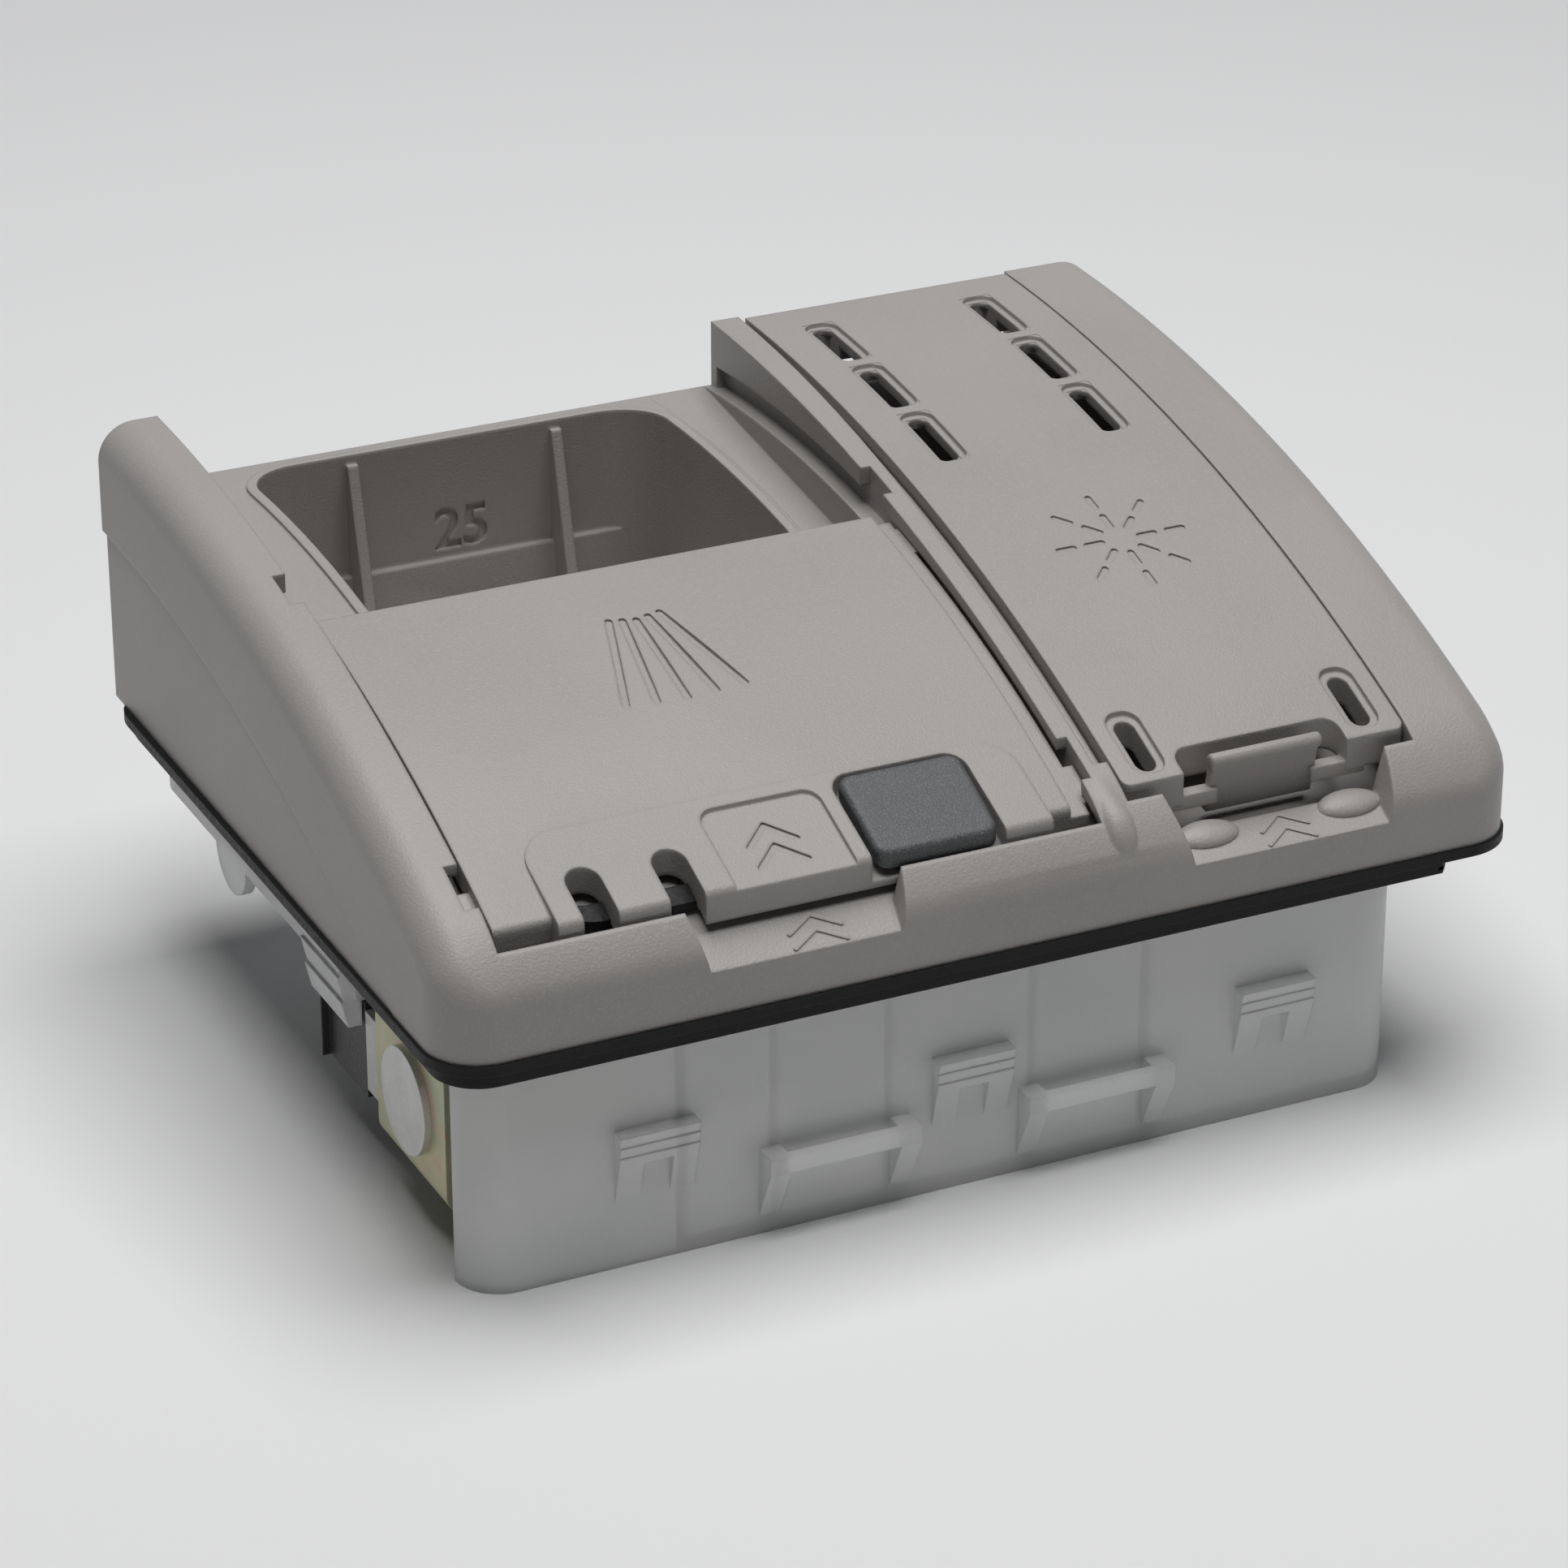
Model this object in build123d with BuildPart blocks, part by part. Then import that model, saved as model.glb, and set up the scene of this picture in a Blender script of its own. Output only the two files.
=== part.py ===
import os
from math import asin, atan2, cos, degrees, hypot, radians, sin, sqrt

from build123d import *

os.makedirs("parts", exist_ok=True)

# Grey front housing, outer form
housing_width = 175.0
housing_depth = 138.8
flange_level = 40.5
crest_height = 86.6
brow_height = 54.5
top_radius = 331.0
brow_radius = 25.0
brow_edge_angle = 32.0
corner_radius = 8.5
top_round = 6.0
housing_wall = 2.2

# Places across the width, from the left edge
left_band = 10.0
lid_side_gap = 0.6
lid_width = 91.0
rail_gap = 3.5
rib_width = 3.2
rinse_groove = 2.1
groove_far_width = 0.4
groove_bend = 62.0
rinse_gap = 0.4
rinse_lid_width = 47.7

# Places along the depth, from the near edge
sill_depth = 4.5
lid_near_inset = 7.5
lid_length = 65.5
rinse_near_inset = 8.2
rinse_far_inset = 1.0

# Curved track of the sliding lid
track_radius = 250.0
track_near_height = 57.1
track_far_height = 80.6
track_far_inset = 2.3
lid_edge_height = 3.3
lid_top_wall = 2.0
lid_run_gap = 1.5
deck_wall = 2.0
guide_depth = 2.6
guide_height = 1.8
guide_gap = 0.35
guide_tab_length = 6.5
notch_length = 7.8
notch_near_inset = 10.9
notch_far_inset = 76.0
notch_width = 2.1

# Detergent cup
cup_left_inset = 10.9
cup_right_inset = 10.6
cup_length = 62.1
cup_far_inset = 4.8
cup_corner = 9.0
cup_wall = 1.6
cup_floor_level = 42.2
cup_rim_height = 0.5
cup_ledge_level = 56.0
cup_ledge_depth = 1.2
cup_rib_thickness = 1.8
cup_rib_top_depth = 1.0
cup_rib_foot_depth = 9.0
cup_rib_first = 18.5
cup_rib_pitch = 35.0
cup_rib_drop = 1.5

# Trough beside the cup, and the rail that stands between it and the rib
trough_gap = 0.9
trough_depth = 4.6
trough_floor = 1.8
trough_start = 60.0
rail_width = 1.4

# Near sill: ramps under the fingers, and the rounded end of the rib
sill_ramp_front = 47.4
lid_ramp_rise = 4.0
rinse_ramp_rise = 2.4
ramp_draft = 0.25
lid_ramp_start = 40.5
lid_ramp_width = 30.0
rinse_ramp_start = 118.5
rinse_ramp_width = 33.0
post_inset = 0.8
post_depth = 13.0
post_round = 7.0
post_corner = 2.4
ramp_bump_length = 6.5
ramp_bump_width = 2.8
ramp_bump_height = 0.9
ramp_bump_inset = 4.6

# Rinse compartment, its hinged lid and the filler neck
rinse_lid_wall = 2.4
rinse_lid_skirt = 4.6
rinse_side_wall = 1.6
rinse_pan_depth = 10.0
rinse_floor_wall = 3.0
rinse_sill_depth = 6.4
groove_depth = 2.0
hinge_inset = 5.0
hinge_pin_radius = 1.9
hinge_pin_reach = 1.5
hinge_play = 0.06
hinge_trough = 6.7
filler_inset = 60.0
filler_radius = 10.0
filler_collar_wall = 2.6
filler_collar_height = 3.0
plug_wall = 2.2
plug_depth = 2.6
seal_height = 1.7
vent_length = 13.0
vent_width = 3.4
vent_border_width = 1.1
vent_recess = 0.7
vent_pitch = 17.2
vent_far_inset = 15.5
vent_side_inset = 9.5
vent_count = 3
solid_end = 8.0
drain_length = 9.5
drain_inset = 7.2
drain_side_inset = 5.6
latch_notch_side = 10.0
latch_notch_depth = 4.5
latch_notch_corner = 2.4
rinse_lid_corner = 1.4
tongue_width = 18.0
tongue_wall = 1.8
tongue_top_inset = 11.4
tongue_foot_inset = 8.2
tongue_foot_level = 49.6
torsion_bar = 2.4
torsion_bar_sides = 6
tongue_lip = 1.1

# Sliding lid's near edge: raised panel, slots, finger pad and release button
panel_left_inset = 9.0
panel_width = 78.0
panel_depth = 16.5
panel_rise = 1.2
panel_step = 0.25
panel_near_inset = 5.2
panel_corner = 6.0
panel_round = 1.4
lid_edge_round = 1.2
slot_width = 5.4
slot_depth = 9.0
slot_first = 15.6
slot_pitch = 13.3
pad_start = 36.4
pad_width = 19.0
pad_depth = 14.3
pad_recess = 0.6
pad_corner = 2.6
button_start = 58.6
button_width = 19.8
button_depth = 14.6
button_gap = 0.9
button_wall = 2.4
button_proud = 1.4
button_round = 1.1
button_corner = 2.2
button_seat_corner = 3.2
button_travel = 1.2
shelf_wall = 0.9
hook_thickness = 1.4
hook_width = 3.0
hook_inset = 6.8
hook_reach = 7.4
hook_play = 0.5
button_spring_radius = 2.2
button_spring_wire = 0.3
button_spring_turns = 2
spring_wire_sides = 6
button_pocket = 1.4
button_pocket_gap = 0.4
hook_slot_gap = 0.7
lid_seal_width = 3.0
lid_seal_groove = 0.5
lid_seal_gap = 0.3
lid_shut_inset = 0.6

# Translucent rear body
body_left_inset = 5.2
body_right_inset = 17.0
body_end_inset = 5.0
body_corner = 7.0
body_wall = 1.8
tank_left_inset = 37.5
tray_level = 28.0
bay_far_inset = 48.0
shield_return = 7.0
partition_insets = (15.6, 34.1, 57.7)
reservoir_inset = 3.3
partition_height = 34.0
snap_first = 28.5
snap_last = 22.7
snap_width = 12.6
snap_top = 22.5
snap_height = 11.5
snap_reach = 2.6
snap_leg_width = 4.0
snap_teeth = 3
snap_tooth_step = 0.5
snap_head_height = 5.4
snap_leg_height = 6.4
rib_wall = 1.4
rib_reach = 6.0
bridge_offsets = (-22.0, 20.2)
bridge_width = 24.6
bridge_foot_width = 3.4
bridge_top = 14.2
bridge_height = 11.2
bridge_reach = 4.0
bridge_bar_height = 2.8
bridge_bar_wall = 1.4

# Rubber gasket under the housing's flange
gasket_lip = 0.5
gasket_lip_height = 1.6
gasket_collar_width = 8.5
gasket_collar_height = 4.2
gasket_fit = 0.15
gasket_groove = 0.6
gasket_ribs = 3

# Release solenoid in the bay of the body
coil_axis_inset = 28.9
coil_axis_level = 21.0
frame_left_inset = 5.8
frame_wall = 1.5
frame_depth = 26.0
frame_height = 25.2
core_head_radius = 8.2
core_head_wall = 1.2
core_radius = 4.0
core_length = 15.0
former_flange_wall = 1.4
former_tube_wall = 1.2
former_block_reach = 10.0
former_block_length = 11.0
winding_radius = 10.2
plunger_radius = 4.5
plunger_play = 0.08
plunger_stroke = 3.5
plunger_reach = 17.0
plunger_bore = 2.6
plunger_bore_depth = 10.0
plunger_gap = 0.2
plunger_spring_radius = 2.0
plunger_spring_wire = 0.35
plunger_spring_turns = 5
fit_play = 0.05
connector_length = 13.5
connector_height = 16.0
connector_width = 13.0
connector_wall = 1.4
connector_hook = 3.0
connector_hook_height = 11.0
connector_drop = 2.5
blade_width = 6.3
blade_wall = 0.8
blade_length = 9.0
blade_pitch = 6.0
screw_radius = 1.4
screw_head_radius = 2.7
screw_head_height = 1.8
screw_reach = 6.0
screw_boss_wall = 2.2
screw_boss_height = 4.2
plate_ear = 4.0
ear_screw_inset = 2.0

# Latch lever and its pin
tongue_thickness = 3.0
tongue_breadth = 9.0
tongue_side = 1.3
tongue_length = 9.0
peg_radius = 1.2
peg_gap = 0.35
peg_inset = 4.0
lever_offset = 3.0
lever_throw = 18.5
lever_gap = 0.4
lever_wall = 4.0
lever_hub_radius = 4.5
lever_arm_width = 5.0
lever_pin_radius = 1.5
lever_pin_depth = 12.0
lever_pin_head = 2.6
lever_pin_play = 0.05
latch_post_offset = 4.2
latch_post_side = 3.0
latch_post_gap = 2.0

# Rinse dosing slide with its seal, the float and the level sensor
dosing_peg_reach = 11.3
slide_level = 7.0
slide_height = 4.0
slide_depth = 9.0
slide_end = 4.0
slide_gap = 0.4
dosing_seal_radius = 6.2
slide_flange_wall = 1.2
slide_slot_reach = 1.6
dosing_seal_wall = 2.0
dosing_seal_gap = 0.2
float_radius = 7.0
float_height = 9.0
float_post_radius = 3.0
float_post_height = 29.0
float_play = 0.4
float_foot = 1.2
float_side_offset = 3.45
float_far_offset = 29.4
reed_radius = 1.2
reed_length = 14.0
reed_play = 0.05

# Hooks and tab on the left side of the body
side_hook_inset = 58.0
side_hook_width = 15.0
side_hook_top = 35.5
side_hook_height = 13.0
side_hook_reach = 2.4
tab_inset = 100.5
tab_width = 13.0
tab_drop = 6.0

near = -housing_depth / 2
far = housing_depth / 2
left = -housing_width / 2
right = housing_width / 2
above = crest_height + top_round


def circle_centre(start, end, radius):
    """Centre, below the chord, of the circle of this radius through two points of the YZ plane."""
    run = end[0] - start[0]
    rise = end[1] - start[1]
    chord = hypot(run, rise)
    drop = sqrt(radius**2 - (chord / 2) ** 2)
    middle = ((start[0] + end[0]) / 2, (start[1] + end[1]) / 2)
    return (middle[0] + rise / chord * drop, middle[1] - run / chord * drop)


def circle_height(circle, radius, y):
    """Height of the upper half of a circle of the YZ plane at this y."""
    return circle[1] + sqrt(radius**2 - (y - circle[0]) ** 2)


def arc_points(circle, radius, start, end):
    """Start, middle and end of an arc of the YZ plane between two y values."""
    middle = (start + end) / 2
    return [(y, circle_height(circle, radius, y)) for y in (start, middle, end)]


def outline_to_arc(circle, radius, start, end, level):
    """Closed outline between a level line and an arc, in the line that is open."""
    points = arc_points(circle, radius, start, end)
    ThreePointArc(*points)
    Polyline(points[2], (end, level), (start, level), points[0])


def outline_between_arcs(circle, low, high, start, end):
    """Closed outline between two arcs of one centre, in the line that is open."""
    upper = arc_points(circle, high, start, end)
    lower = arc_points(circle, low, start, end)
    ThreePointArc(*upper)
    Line(upper[2], lower[2])
    ThreePointArc(*reversed(lower))
    Line(lower[0], upper[0])


def crosswise(x):
    """Sketch plane that faces along the width, at this x."""
    return Plane.YZ.offset(x)


def trimmed(draw, across, along, corner):
    """Prism of the side outline that draw makes, trimmed in plan to a rectangle with round corners."""
    middle = ((across[0] + across[1]) / 2, (along[0] + along[1]) / 2)
    with BuildPart() as form:
        with BuildSketch(crosswise(across[0])):
            with BuildLine():
                draw()
            make_face()
        extrude(amount=across[1] - across[0])
        with BuildSketch(Plane.XY):
            with Locations(middle):
                RectangleRounded(across[1] - across[0], along[1] - along[0], corner)
        extrude(amount=above, mode=Mode.INTERSECT)
    return form.part


# Circle of the housing's top, and of the brow that rounds it down to the near face
top_circle = circle_centre((near, brow_height), (far, crest_height), top_radius)
brow_y = near + brow_radius * cos(radians(brow_edge_angle))
brow_z = circle_height(top_circle, top_radius - brow_radius, brow_y)
brow_circle = (brow_y, brow_z)
brow_reach = top_radius / (top_radius - brow_radius)
brow_start = (
    top_circle[0] + (brow_y - top_circle[0]) * brow_reach,
    top_circle[1] + (brow_z - top_circle[1]) * brow_reach,
)

# Circle of the sliding lid's outer face
track_start = (near + lid_near_inset, track_near_height)
track_end = (far - track_far_inset, track_far_height)
track_circle = circle_centre(track_start, track_end, track_radius)
deck_radius = track_radius - lid_edge_height - lid_run_gap
guide_radius = track_radius - lid_edge_height + guide_height

strip_edge = left + left_band
channel_outer = strip_edge + lid_side_gap - guide_depth - guide_gap
lid_left = strip_edge + lid_side_gap
lid_right = lid_left + lid_width
rib_left = lid_right + rail_gap
rib_right = rib_left + rib_width
rinse_pocket_left = rib_right + rinse_groove
rinse_left = rinse_pocket_left + rinse_gap
rinse_right = rinse_left + rinse_lid_width
rinse_pocket_right = rinse_right + rinse_gap

sill_back = near + sill_depth
lid_near = near + lid_near_inset
lid_far = lid_near + lid_length
rinse_near = near + rinse_near_inset
rinse_far = far - rinse_far_inset
cup_left = lid_left + cup_left_inset
cup_right = lid_right - cup_right_inset
cup_width = cup_right - cup_left
cup_far = far - cup_far_inset
cup_near = cup_far - cup_length

pan_radius = top_radius - rinse_pan_depth
lid_ramp = (left + lid_ramp_start, left + lid_ramp_start + lid_ramp_width)
rinse_ramp = (left + rinse_ramp_start, left + rinse_ramp_start + rinse_ramp_width)
hinge_y = far - hinge_inset
hinge_z = circle_height(top_circle, top_radius - rinse_lid_skirt, hinge_y)
rib_undercut = rib_width / 2
hook_x = lid_left + button_start + button_width / 2
hook_y = near + hook_inset

# Plane of the filler neck, square to the housing's top
filler_y = near + filler_inset
filler_z = circle_height(top_circle, top_radius, filler_y)
filler_x = (rinse_left + rinse_right) / 2
filler_lean = (filler_y - top_circle[0]) / top_radius
filler_plane = Plane(
    origin=(filler_x, filler_y, filler_z),
    x_dir=(1, 0, 0),
    z_dir=(0, filler_lean, sqrt(1 - filler_lean**2)),
)

body_left = left + body_left_inset
body_right = right - body_right_inset
body_near = near + body_end_inset
body_far = far - body_end_inset
tank_left = left + tank_left_inset
frame_left = left + frame_left_inset
snap_ends = (body_left + snap_first, body_right - snap_last)
snap_middle = (snap_ends[0] + snap_ends[1]) / 2
snap_places = (snap_ends[0], snap_middle, snap_ends[1])
bridge_places = [snap_middle + offset for offset in bridge_offsets]
side_hook_place = near + side_hook_inset
tab_place = near + tab_inset
reservoir_wall = rinse_left + reservoir_inset
float_x = (reservoir_wall + body_right) / 2 + float_side_offset
float_y = filler_y + float_far_offset


def housing_outline(growth, mode=Mode.ADD):
    """Housing's plan outline grown by a margin, in the sketch that is open."""
    RectangleRounded(
        housing_width + 2 * growth, housing_depth + 2 * growth, corner_radius + growth, mode=mode
    )


def body_outline(growth, mode=Mode.ADD):
    """Rear body's plan outline grown by a margin, in the sketch that is open."""
    with Locations(((body_left + body_right) / 2, (body_near + body_far) / 2)):
        RectangleRounded(
            body_right - body_left + 2 * growth,
            body_far - body_near + 2 * growth,
            body_corner + growth,
            mode=mode,
        )


# Form of the detergent cup's hollow; its floor rises towards the near side
cup_middle = ((cup_left + cup_right) / 2, (cup_near + cup_far) / 2)
cup_slope_foot = cup_near + cup_length / 3
cup_slope_top = cup_ledge_level + cup_ledge_depth
rim_radius = deck_radius + cup_rim_height


def cup_solid(growth, top):
    """Cup form grown by a wall, up to this radius of the track."""
    width = cup_width + 2 * growth
    length = cup_length + 2 * growth
    with BuildPart() as form:
        with BuildSketch(Plane.XY.offset(cup_floor_level - growth)):
            with Locations(cup_middle):
                RectangleRounded(width, length, cup_corner + growth)
        extrude(amount=above - cup_floor_level)
        with BuildSketch(crosswise(cup_left - growth)):
            with BuildLine():
                rim = arc_points(track_circle, top, cup_near - growth, cup_far + growth)
                ThreePointArc(*rim)
                Polyline(
                    rim[2],
                    (cup_far + growth, cup_ledge_level),
                    (cup_far + growth - cup_ledge_depth, cup_ledge_level),
                    (cup_far + growth - 2 * cup_ledge_depth, cup_floor_level - growth),
                    (cup_slope_foot, cup_floor_level - growth),
                    (cup_near - growth, cup_slope_top - growth),
                    rim[0],
                )
            make_face()
        extrude(amount=width, mode=Mode.INTERSECT)
    return form.part


cup_outside = cup_solid(cup_wall, rim_radius)
cup_inside = cup_solid(0, track_radius)

# Hollow below the deck, with corners that follow the housing's
hollow = (near + housing_wall, far - housing_wall)
deck_hollow = trimmed(
    lambda: outline_to_arc(track_circle, deck_radius - deck_wall, *hollow, flange_level),
    (left + housing_wall, rib_left),
    hollow,
    corner_radius - housing_wall / 2,
)

# Rounded end of the rib, standing over the sill
post_span = (near + post_inset, near + post_depth)
with BuildPart() as rib_end:
    with BuildSketch(crosswise(rib_left)) as post:
        with BuildLine():
            outline_to_arc(top_circle, top_radius, *post_span, flange_level)
        make_face()
        fillet(post.vertices().group_by(Axis.X)[0].sort_by(Axis.Y)[-1], post_round)
    extrude(amount=rinse_pocket_left - rib_left)
    fillet(rib_end.edges().filter_by(Axis.Z).group_by(Axis.Y)[0], post_corner)

# Groove between the rib and the rinse lid, which narrows towards the far side
with BuildPart() as groove:
    with BuildSketch(Plane.XY.offset(flange_level)):
        with BuildLine():
            Polyline(
                (rinse_pocket_left, post_span[1]),
                (rib_right, post_span[1]),
                (rib_right, near + groove_bend),
                (rinse_pocket_left - groove_far_width, far),
                (rinse_pocket_left, far),
                close=True,
            )
        make_face()
    extrude(amount=above - flange_level)
    with BuildSketch(crosswise(rib_right)):
        with BuildLine():
            outline_to_arc(top_circle, top_radius - groove_depth, post_span[1], far, above)
        make_face()
    extrude(amount=rinse_groove, mode=Mode.INTERSECT)


def ramp_form(span, rise):
    """Space above a finger ramp of the sill, wider at its top than at its foot."""
    spread = ramp_draft * (above - sill_ramp_front)
    with BuildPart() as form:
        with BuildSketch(Plane.XZ.offset(-near - rinse_sill_depth)):
            with BuildLine():
                Polyline(
                    (span[0], sill_ramp_front),
                    (span[1], sill_ramp_front),
                    (span[1] + spread, above),
                    (span[0] - spread, above),
                    close=True,
                )
            make_face()
        extrude(amount=rinse_sill_depth + sill_depth)
        with BuildSketch(crosswise(span[0] - spread)):
            with BuildLine():
                front = near - sill_depth
                back = near + rinse_sill_depth
                ramp = [(front, sill_ramp_front), (near, sill_ramp_front), (back, sill_ramp_front + rise)]
                Polyline(*ramp, (back, above), (front, above), close=True)
            make_face()
        extrude(amount=span[1] - span[0] + 2 * spread, mode=Mode.INTERSECT)
    return form.part


ramps = [ramp_form(lid_ramp, lid_ramp_rise), ramp_form(rinse_ramp, rinse_ramp_rise)]
bump_lean = hypot(rinse_sill_depth, rinse_ramp_rise)
bump_y = near + rinse_sill_depth - ramp_bump_width / 2
bump_plane = Plane(
    origin=(0, bump_y, sill_ramp_front + rinse_ramp_rise * (bump_y - near) / rinse_sill_depth),
    x_dir=(1, 0, 0),
    z_dir=(0, -rinse_ramp_rise / bump_lean, rinse_sill_depth / bump_lean),
)

# Trough beside the cup, deepest below the lid and running out at the far edge
trough = (cup_right + cup_wall + trough_gap, rib_left - rail_width)
trough_foot = near + trough_start


def trough_outline(drop, start, overlap):
    """Side outline of the trough, or of the floor below it, in the line that is open."""
    head = (far, circle_height(track_circle, deck_radius, far) - drop)
    foot = (start, circle_height(track_circle, deck_radius, start) - trough_depth - drop)
    Polyline(head, foot, (start, foot[1] + trough_depth + overlap), (far, head[1] + overlap), close=True)


# Front housing: moulded shell with the sill, deck, cup, rails and rinse pan
with BuildPart() as housing:
    with BuildSketch(crosswise(left)):
        with BuildLine():
            crown = ThreePointArc(*arc_points(top_circle, top_radius, far, brow_start[0]))
            brow = ThreePointArc(*arc_points(brow_circle, brow_radius, brow_start[0], near))
            Polyline(brow @ 1, (near, flange_level), (far, flange_level), crown @ 0)
        make_face()
    extrude(amount=housing_width)
    near_corners = housing.edges().filter_by(Axis.Z).group_by(Axis.Y)[0]
    fillet(near_corners, corner_radius)
    front_edge = housing.faces().sort_by(Axis.Y)[0].edges().sort_by(Axis.Z)[-1]
    fillet(front_edge, top_round)

    # Hollow underside: below the deck, below the rinse pan and inside the right band
    add(deck_hollow, mode=Mode.SUBTRACT)
    pan_hollow = rinse_pocket_right - rib_right + rinse_side_wall
    with BuildSketch(crosswise(rib_right)):
        with BuildLine():
            outline_to_arc(top_circle, pan_radius - rinse_floor_wall, *hollow, flange_level)
        make_face()
    extrude(amount=pan_hollow, mode=Mode.SUBTRACT)
    band_start = rinse_pocket_right + 2 * rinse_side_wall
    with BuildSketch(crosswise(band_start)):
        with BuildLine():
            near_end = near + top_round
            far_end = far - housing_wall
            outline_to_arc(top_circle, top_radius - top_round, near_end, far_end, flange_level)
        make_face()
    extrude(amount=right - housing_wall - band_start, mode=Mode.SUBTRACT)

    # Flange plate round the underside, which the body and the gasket seat on
    with BuildSketch(Plane.XY.offset(flange_level)):
        housing_outline(-housing_wall / 2)
        body_outline(-body_wall, Mode.SUBTRACT)
    extrude(amount=housing_wall)

    # Rounded end of the rib, and the floor below the trough
    add(rib_end.part)
    with BuildSketch(crosswise(trough[0] - cup_wall)):
        with BuildLine():
            trough_outline(trough_floor, trough_foot - trough_floor, trough_depth)
        make_face()
    extrude(amount=rib_left - trough[0] + cup_wall)

    # Pocket of the sliding lid, open at the far side
    with BuildSketch(crosswise(strip_edge)):
        with BuildLine():
            outline_to_arc(track_circle, deck_radius, sill_back, far + housing_wall, above)
        make_face()
    extrude(amount=rib_left - strip_edge, mode=Mode.SUBTRACT)

    # Guide channels below the strip and in the rib, and the notches that let the guides in
    channels = ((channel_outer, strip_edge - channel_outer), (rib_left, rib_undercut))
    for start, width in channels:
        with BuildSketch(crosswise(start)):
            ceiling = guide_radius + guide_gap
            with BuildLine():
                outline_between_arcs(track_circle, deck_radius, ceiling, sill_back, far - housing_wall)
            make_face()
        extrude(amount=width, mode=Mode.SUBTRACT)
    notches = ((strip_edge - notch_width, notch_width), (rib_left, rib_undercut))
    for inset in (notch_near_inset, notch_far_inset):
        for start, width in notches:
            with BuildSketch(crosswise(start)):
                with BuildLine():
                    notch_near = near + inset
                    outline_to_arc(track_circle, deck_radius, notch_near, notch_near + notch_length, above)
                make_face()
            extrude(amount=width, mode=Mode.SUBTRACT)

    # Pan under the rinse lid, the trough for its hinge and the groove along the rib
    trough_near = hinge_y - hinge_trough
    with BuildSketch(crosswise(rinse_pocket_left)):
        with BuildLine():
            outline_to_arc(top_circle, pan_radius, near + rinse_sill_depth, trough_near, above)
        make_face()
        with BuildLine():
            floor = hinge_z - hinge_trough
            Polyline((trough_near, above), (trough_near, floor), (far, floor), (far, above), close=True)
        make_face()
    extrude(amount=rinse_pocket_right - rinse_pocket_left, mode=Mode.SUBTRACT)
    add(groove.part, mode=Mode.SUBTRACT)
    with BuildSketch(crosswise(rinse_pocket_left - hinge_pin_reach)):
        with Locations((hinge_y, hinge_z)):
            Circle(hinge_pin_radius + hinge_play)
    extrude(amount=rinse_pocket_right - rinse_pocket_left + 2 * hinge_pin_reach, mode=Mode.SUBTRACT)

    # Filler neck of the rinse tank
    with BuildSketch(filler_plane.offset(-rinse_pan_depth - rinse_floor_wall)):
        Circle(filler_radius + filler_collar_wall)
    extrude(amount=rinse_floor_wall + filler_collar_height)
    with BuildSketch(filler_plane.offset(-rinse_pan_depth - 2 * rinse_floor_wall)):
        Circle(filler_radius)
    extrude(amount=2 * rinse_floor_wall + filler_collar_height, mode=Mode.SUBTRACT)

    # Finger ramps in the sill, with drafted sides, and the two bumps of the rinse ramp
    for form in ramps:
        add(form, mode=Mode.SUBTRACT)
    bump_spots = (rinse_ramp[0] + ramp_bump_inset, rinse_ramp[1] - ramp_bump_inset)
    with BuildSketch(bump_plane):
        for place in bump_spots:
            with Locations((place, 0)):
                SlotOverall(ramp_bump_length, ramp_bump_width)
    extrude(amount=ramp_bump_height)

    # Detergent cup, with two fins on its far wall
    add(cup_outside)
    add(cup_inside, mode=Mode.SUBTRACT)
    for place in (cup_left + cup_rib_first, cup_left + cup_rib_first + cup_rib_pitch):
        with BuildSketch(crosswise(place - cup_rib_thickness / 2)):
            with BuildLine():
                rib_top = circle_height(track_circle, rim_radius, cup_far) - cup_rib_drop
                Polyline(
                    (cup_far, rib_top),
                    (cup_far, cup_ledge_level),
                    (cup_far - cup_ledge_depth, cup_ledge_level),
                    (cup_far - 2 * cup_ledge_depth, cup_floor_level),
                    (cup_far - cup_rib_foot_depth, cup_floor_level),
                    (cup_far - cup_rib_top_depth, rib_top),
                    close=True,
                )
            make_face()
        extrude(amount=cup_rib_thickness)

    # Trough beside the cup
    with BuildSketch(crosswise(trough[0])):
        with BuildLine():
            trough_outline(0, trough_foot, 2 * trough_depth)
        make_face()
    extrude(amount=trough[1] - trough[0], mode=Mode.SUBTRACT)

    # Slot in the deck for the release button's hook
    hook_slot = hook_width + 2 * hook_slot_gap
    hook_slot_end = cup_near - 2 * cup_wall
    with BuildSketch(crosswise(hook_x - hook_slot / 2)):
        with BuildLine():
            slot_floor = deck_radius - 2 * deck_wall
            outline_between_arcs(track_circle, slot_floor, deck_radius, sill_back, hook_slot_end)
        make_face()
    extrude(amount=hook_slot, mode=Mode.SUBTRACT)

housing.part.label = "front_housing"
export_step(housing.part, "parts/front_housing.step")

# Sliding detergent lid: curved cover with guides at its sides and a thick near edge
lid_under = track_radius - lid_edge_height
panel_near = near + panel_near_inset
panel_far = panel_near + panel_depth
panel_left = lid_left + panel_left_inset
shelf_radius = lid_under + shelf_wall
button_left = lid_left + button_start
button_far = panel_near + button_depth


def lid_height(radius, y):
    """Height of a circle of the lid's track at this y."""
    return circle_height(track_circle, radius, y)


def track_angle(y):
    """Angle, from upright, of the point of the lid's outer circle at this y."""
    return degrees(asin((track_circle[0] - y) / track_radius))


lid_travel = track_angle(lid_far) - track_angle(far - lid_shut_inset)


def before_travel(y):
    """Place of the open lid, along y, of a point that lies at this y when the lid is shut."""
    shut = degrees(asin((track_circle[0] - y) / rim_radius))
    return track_circle[0] - rim_radius * sin(radians(shut + lid_travel))


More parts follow.
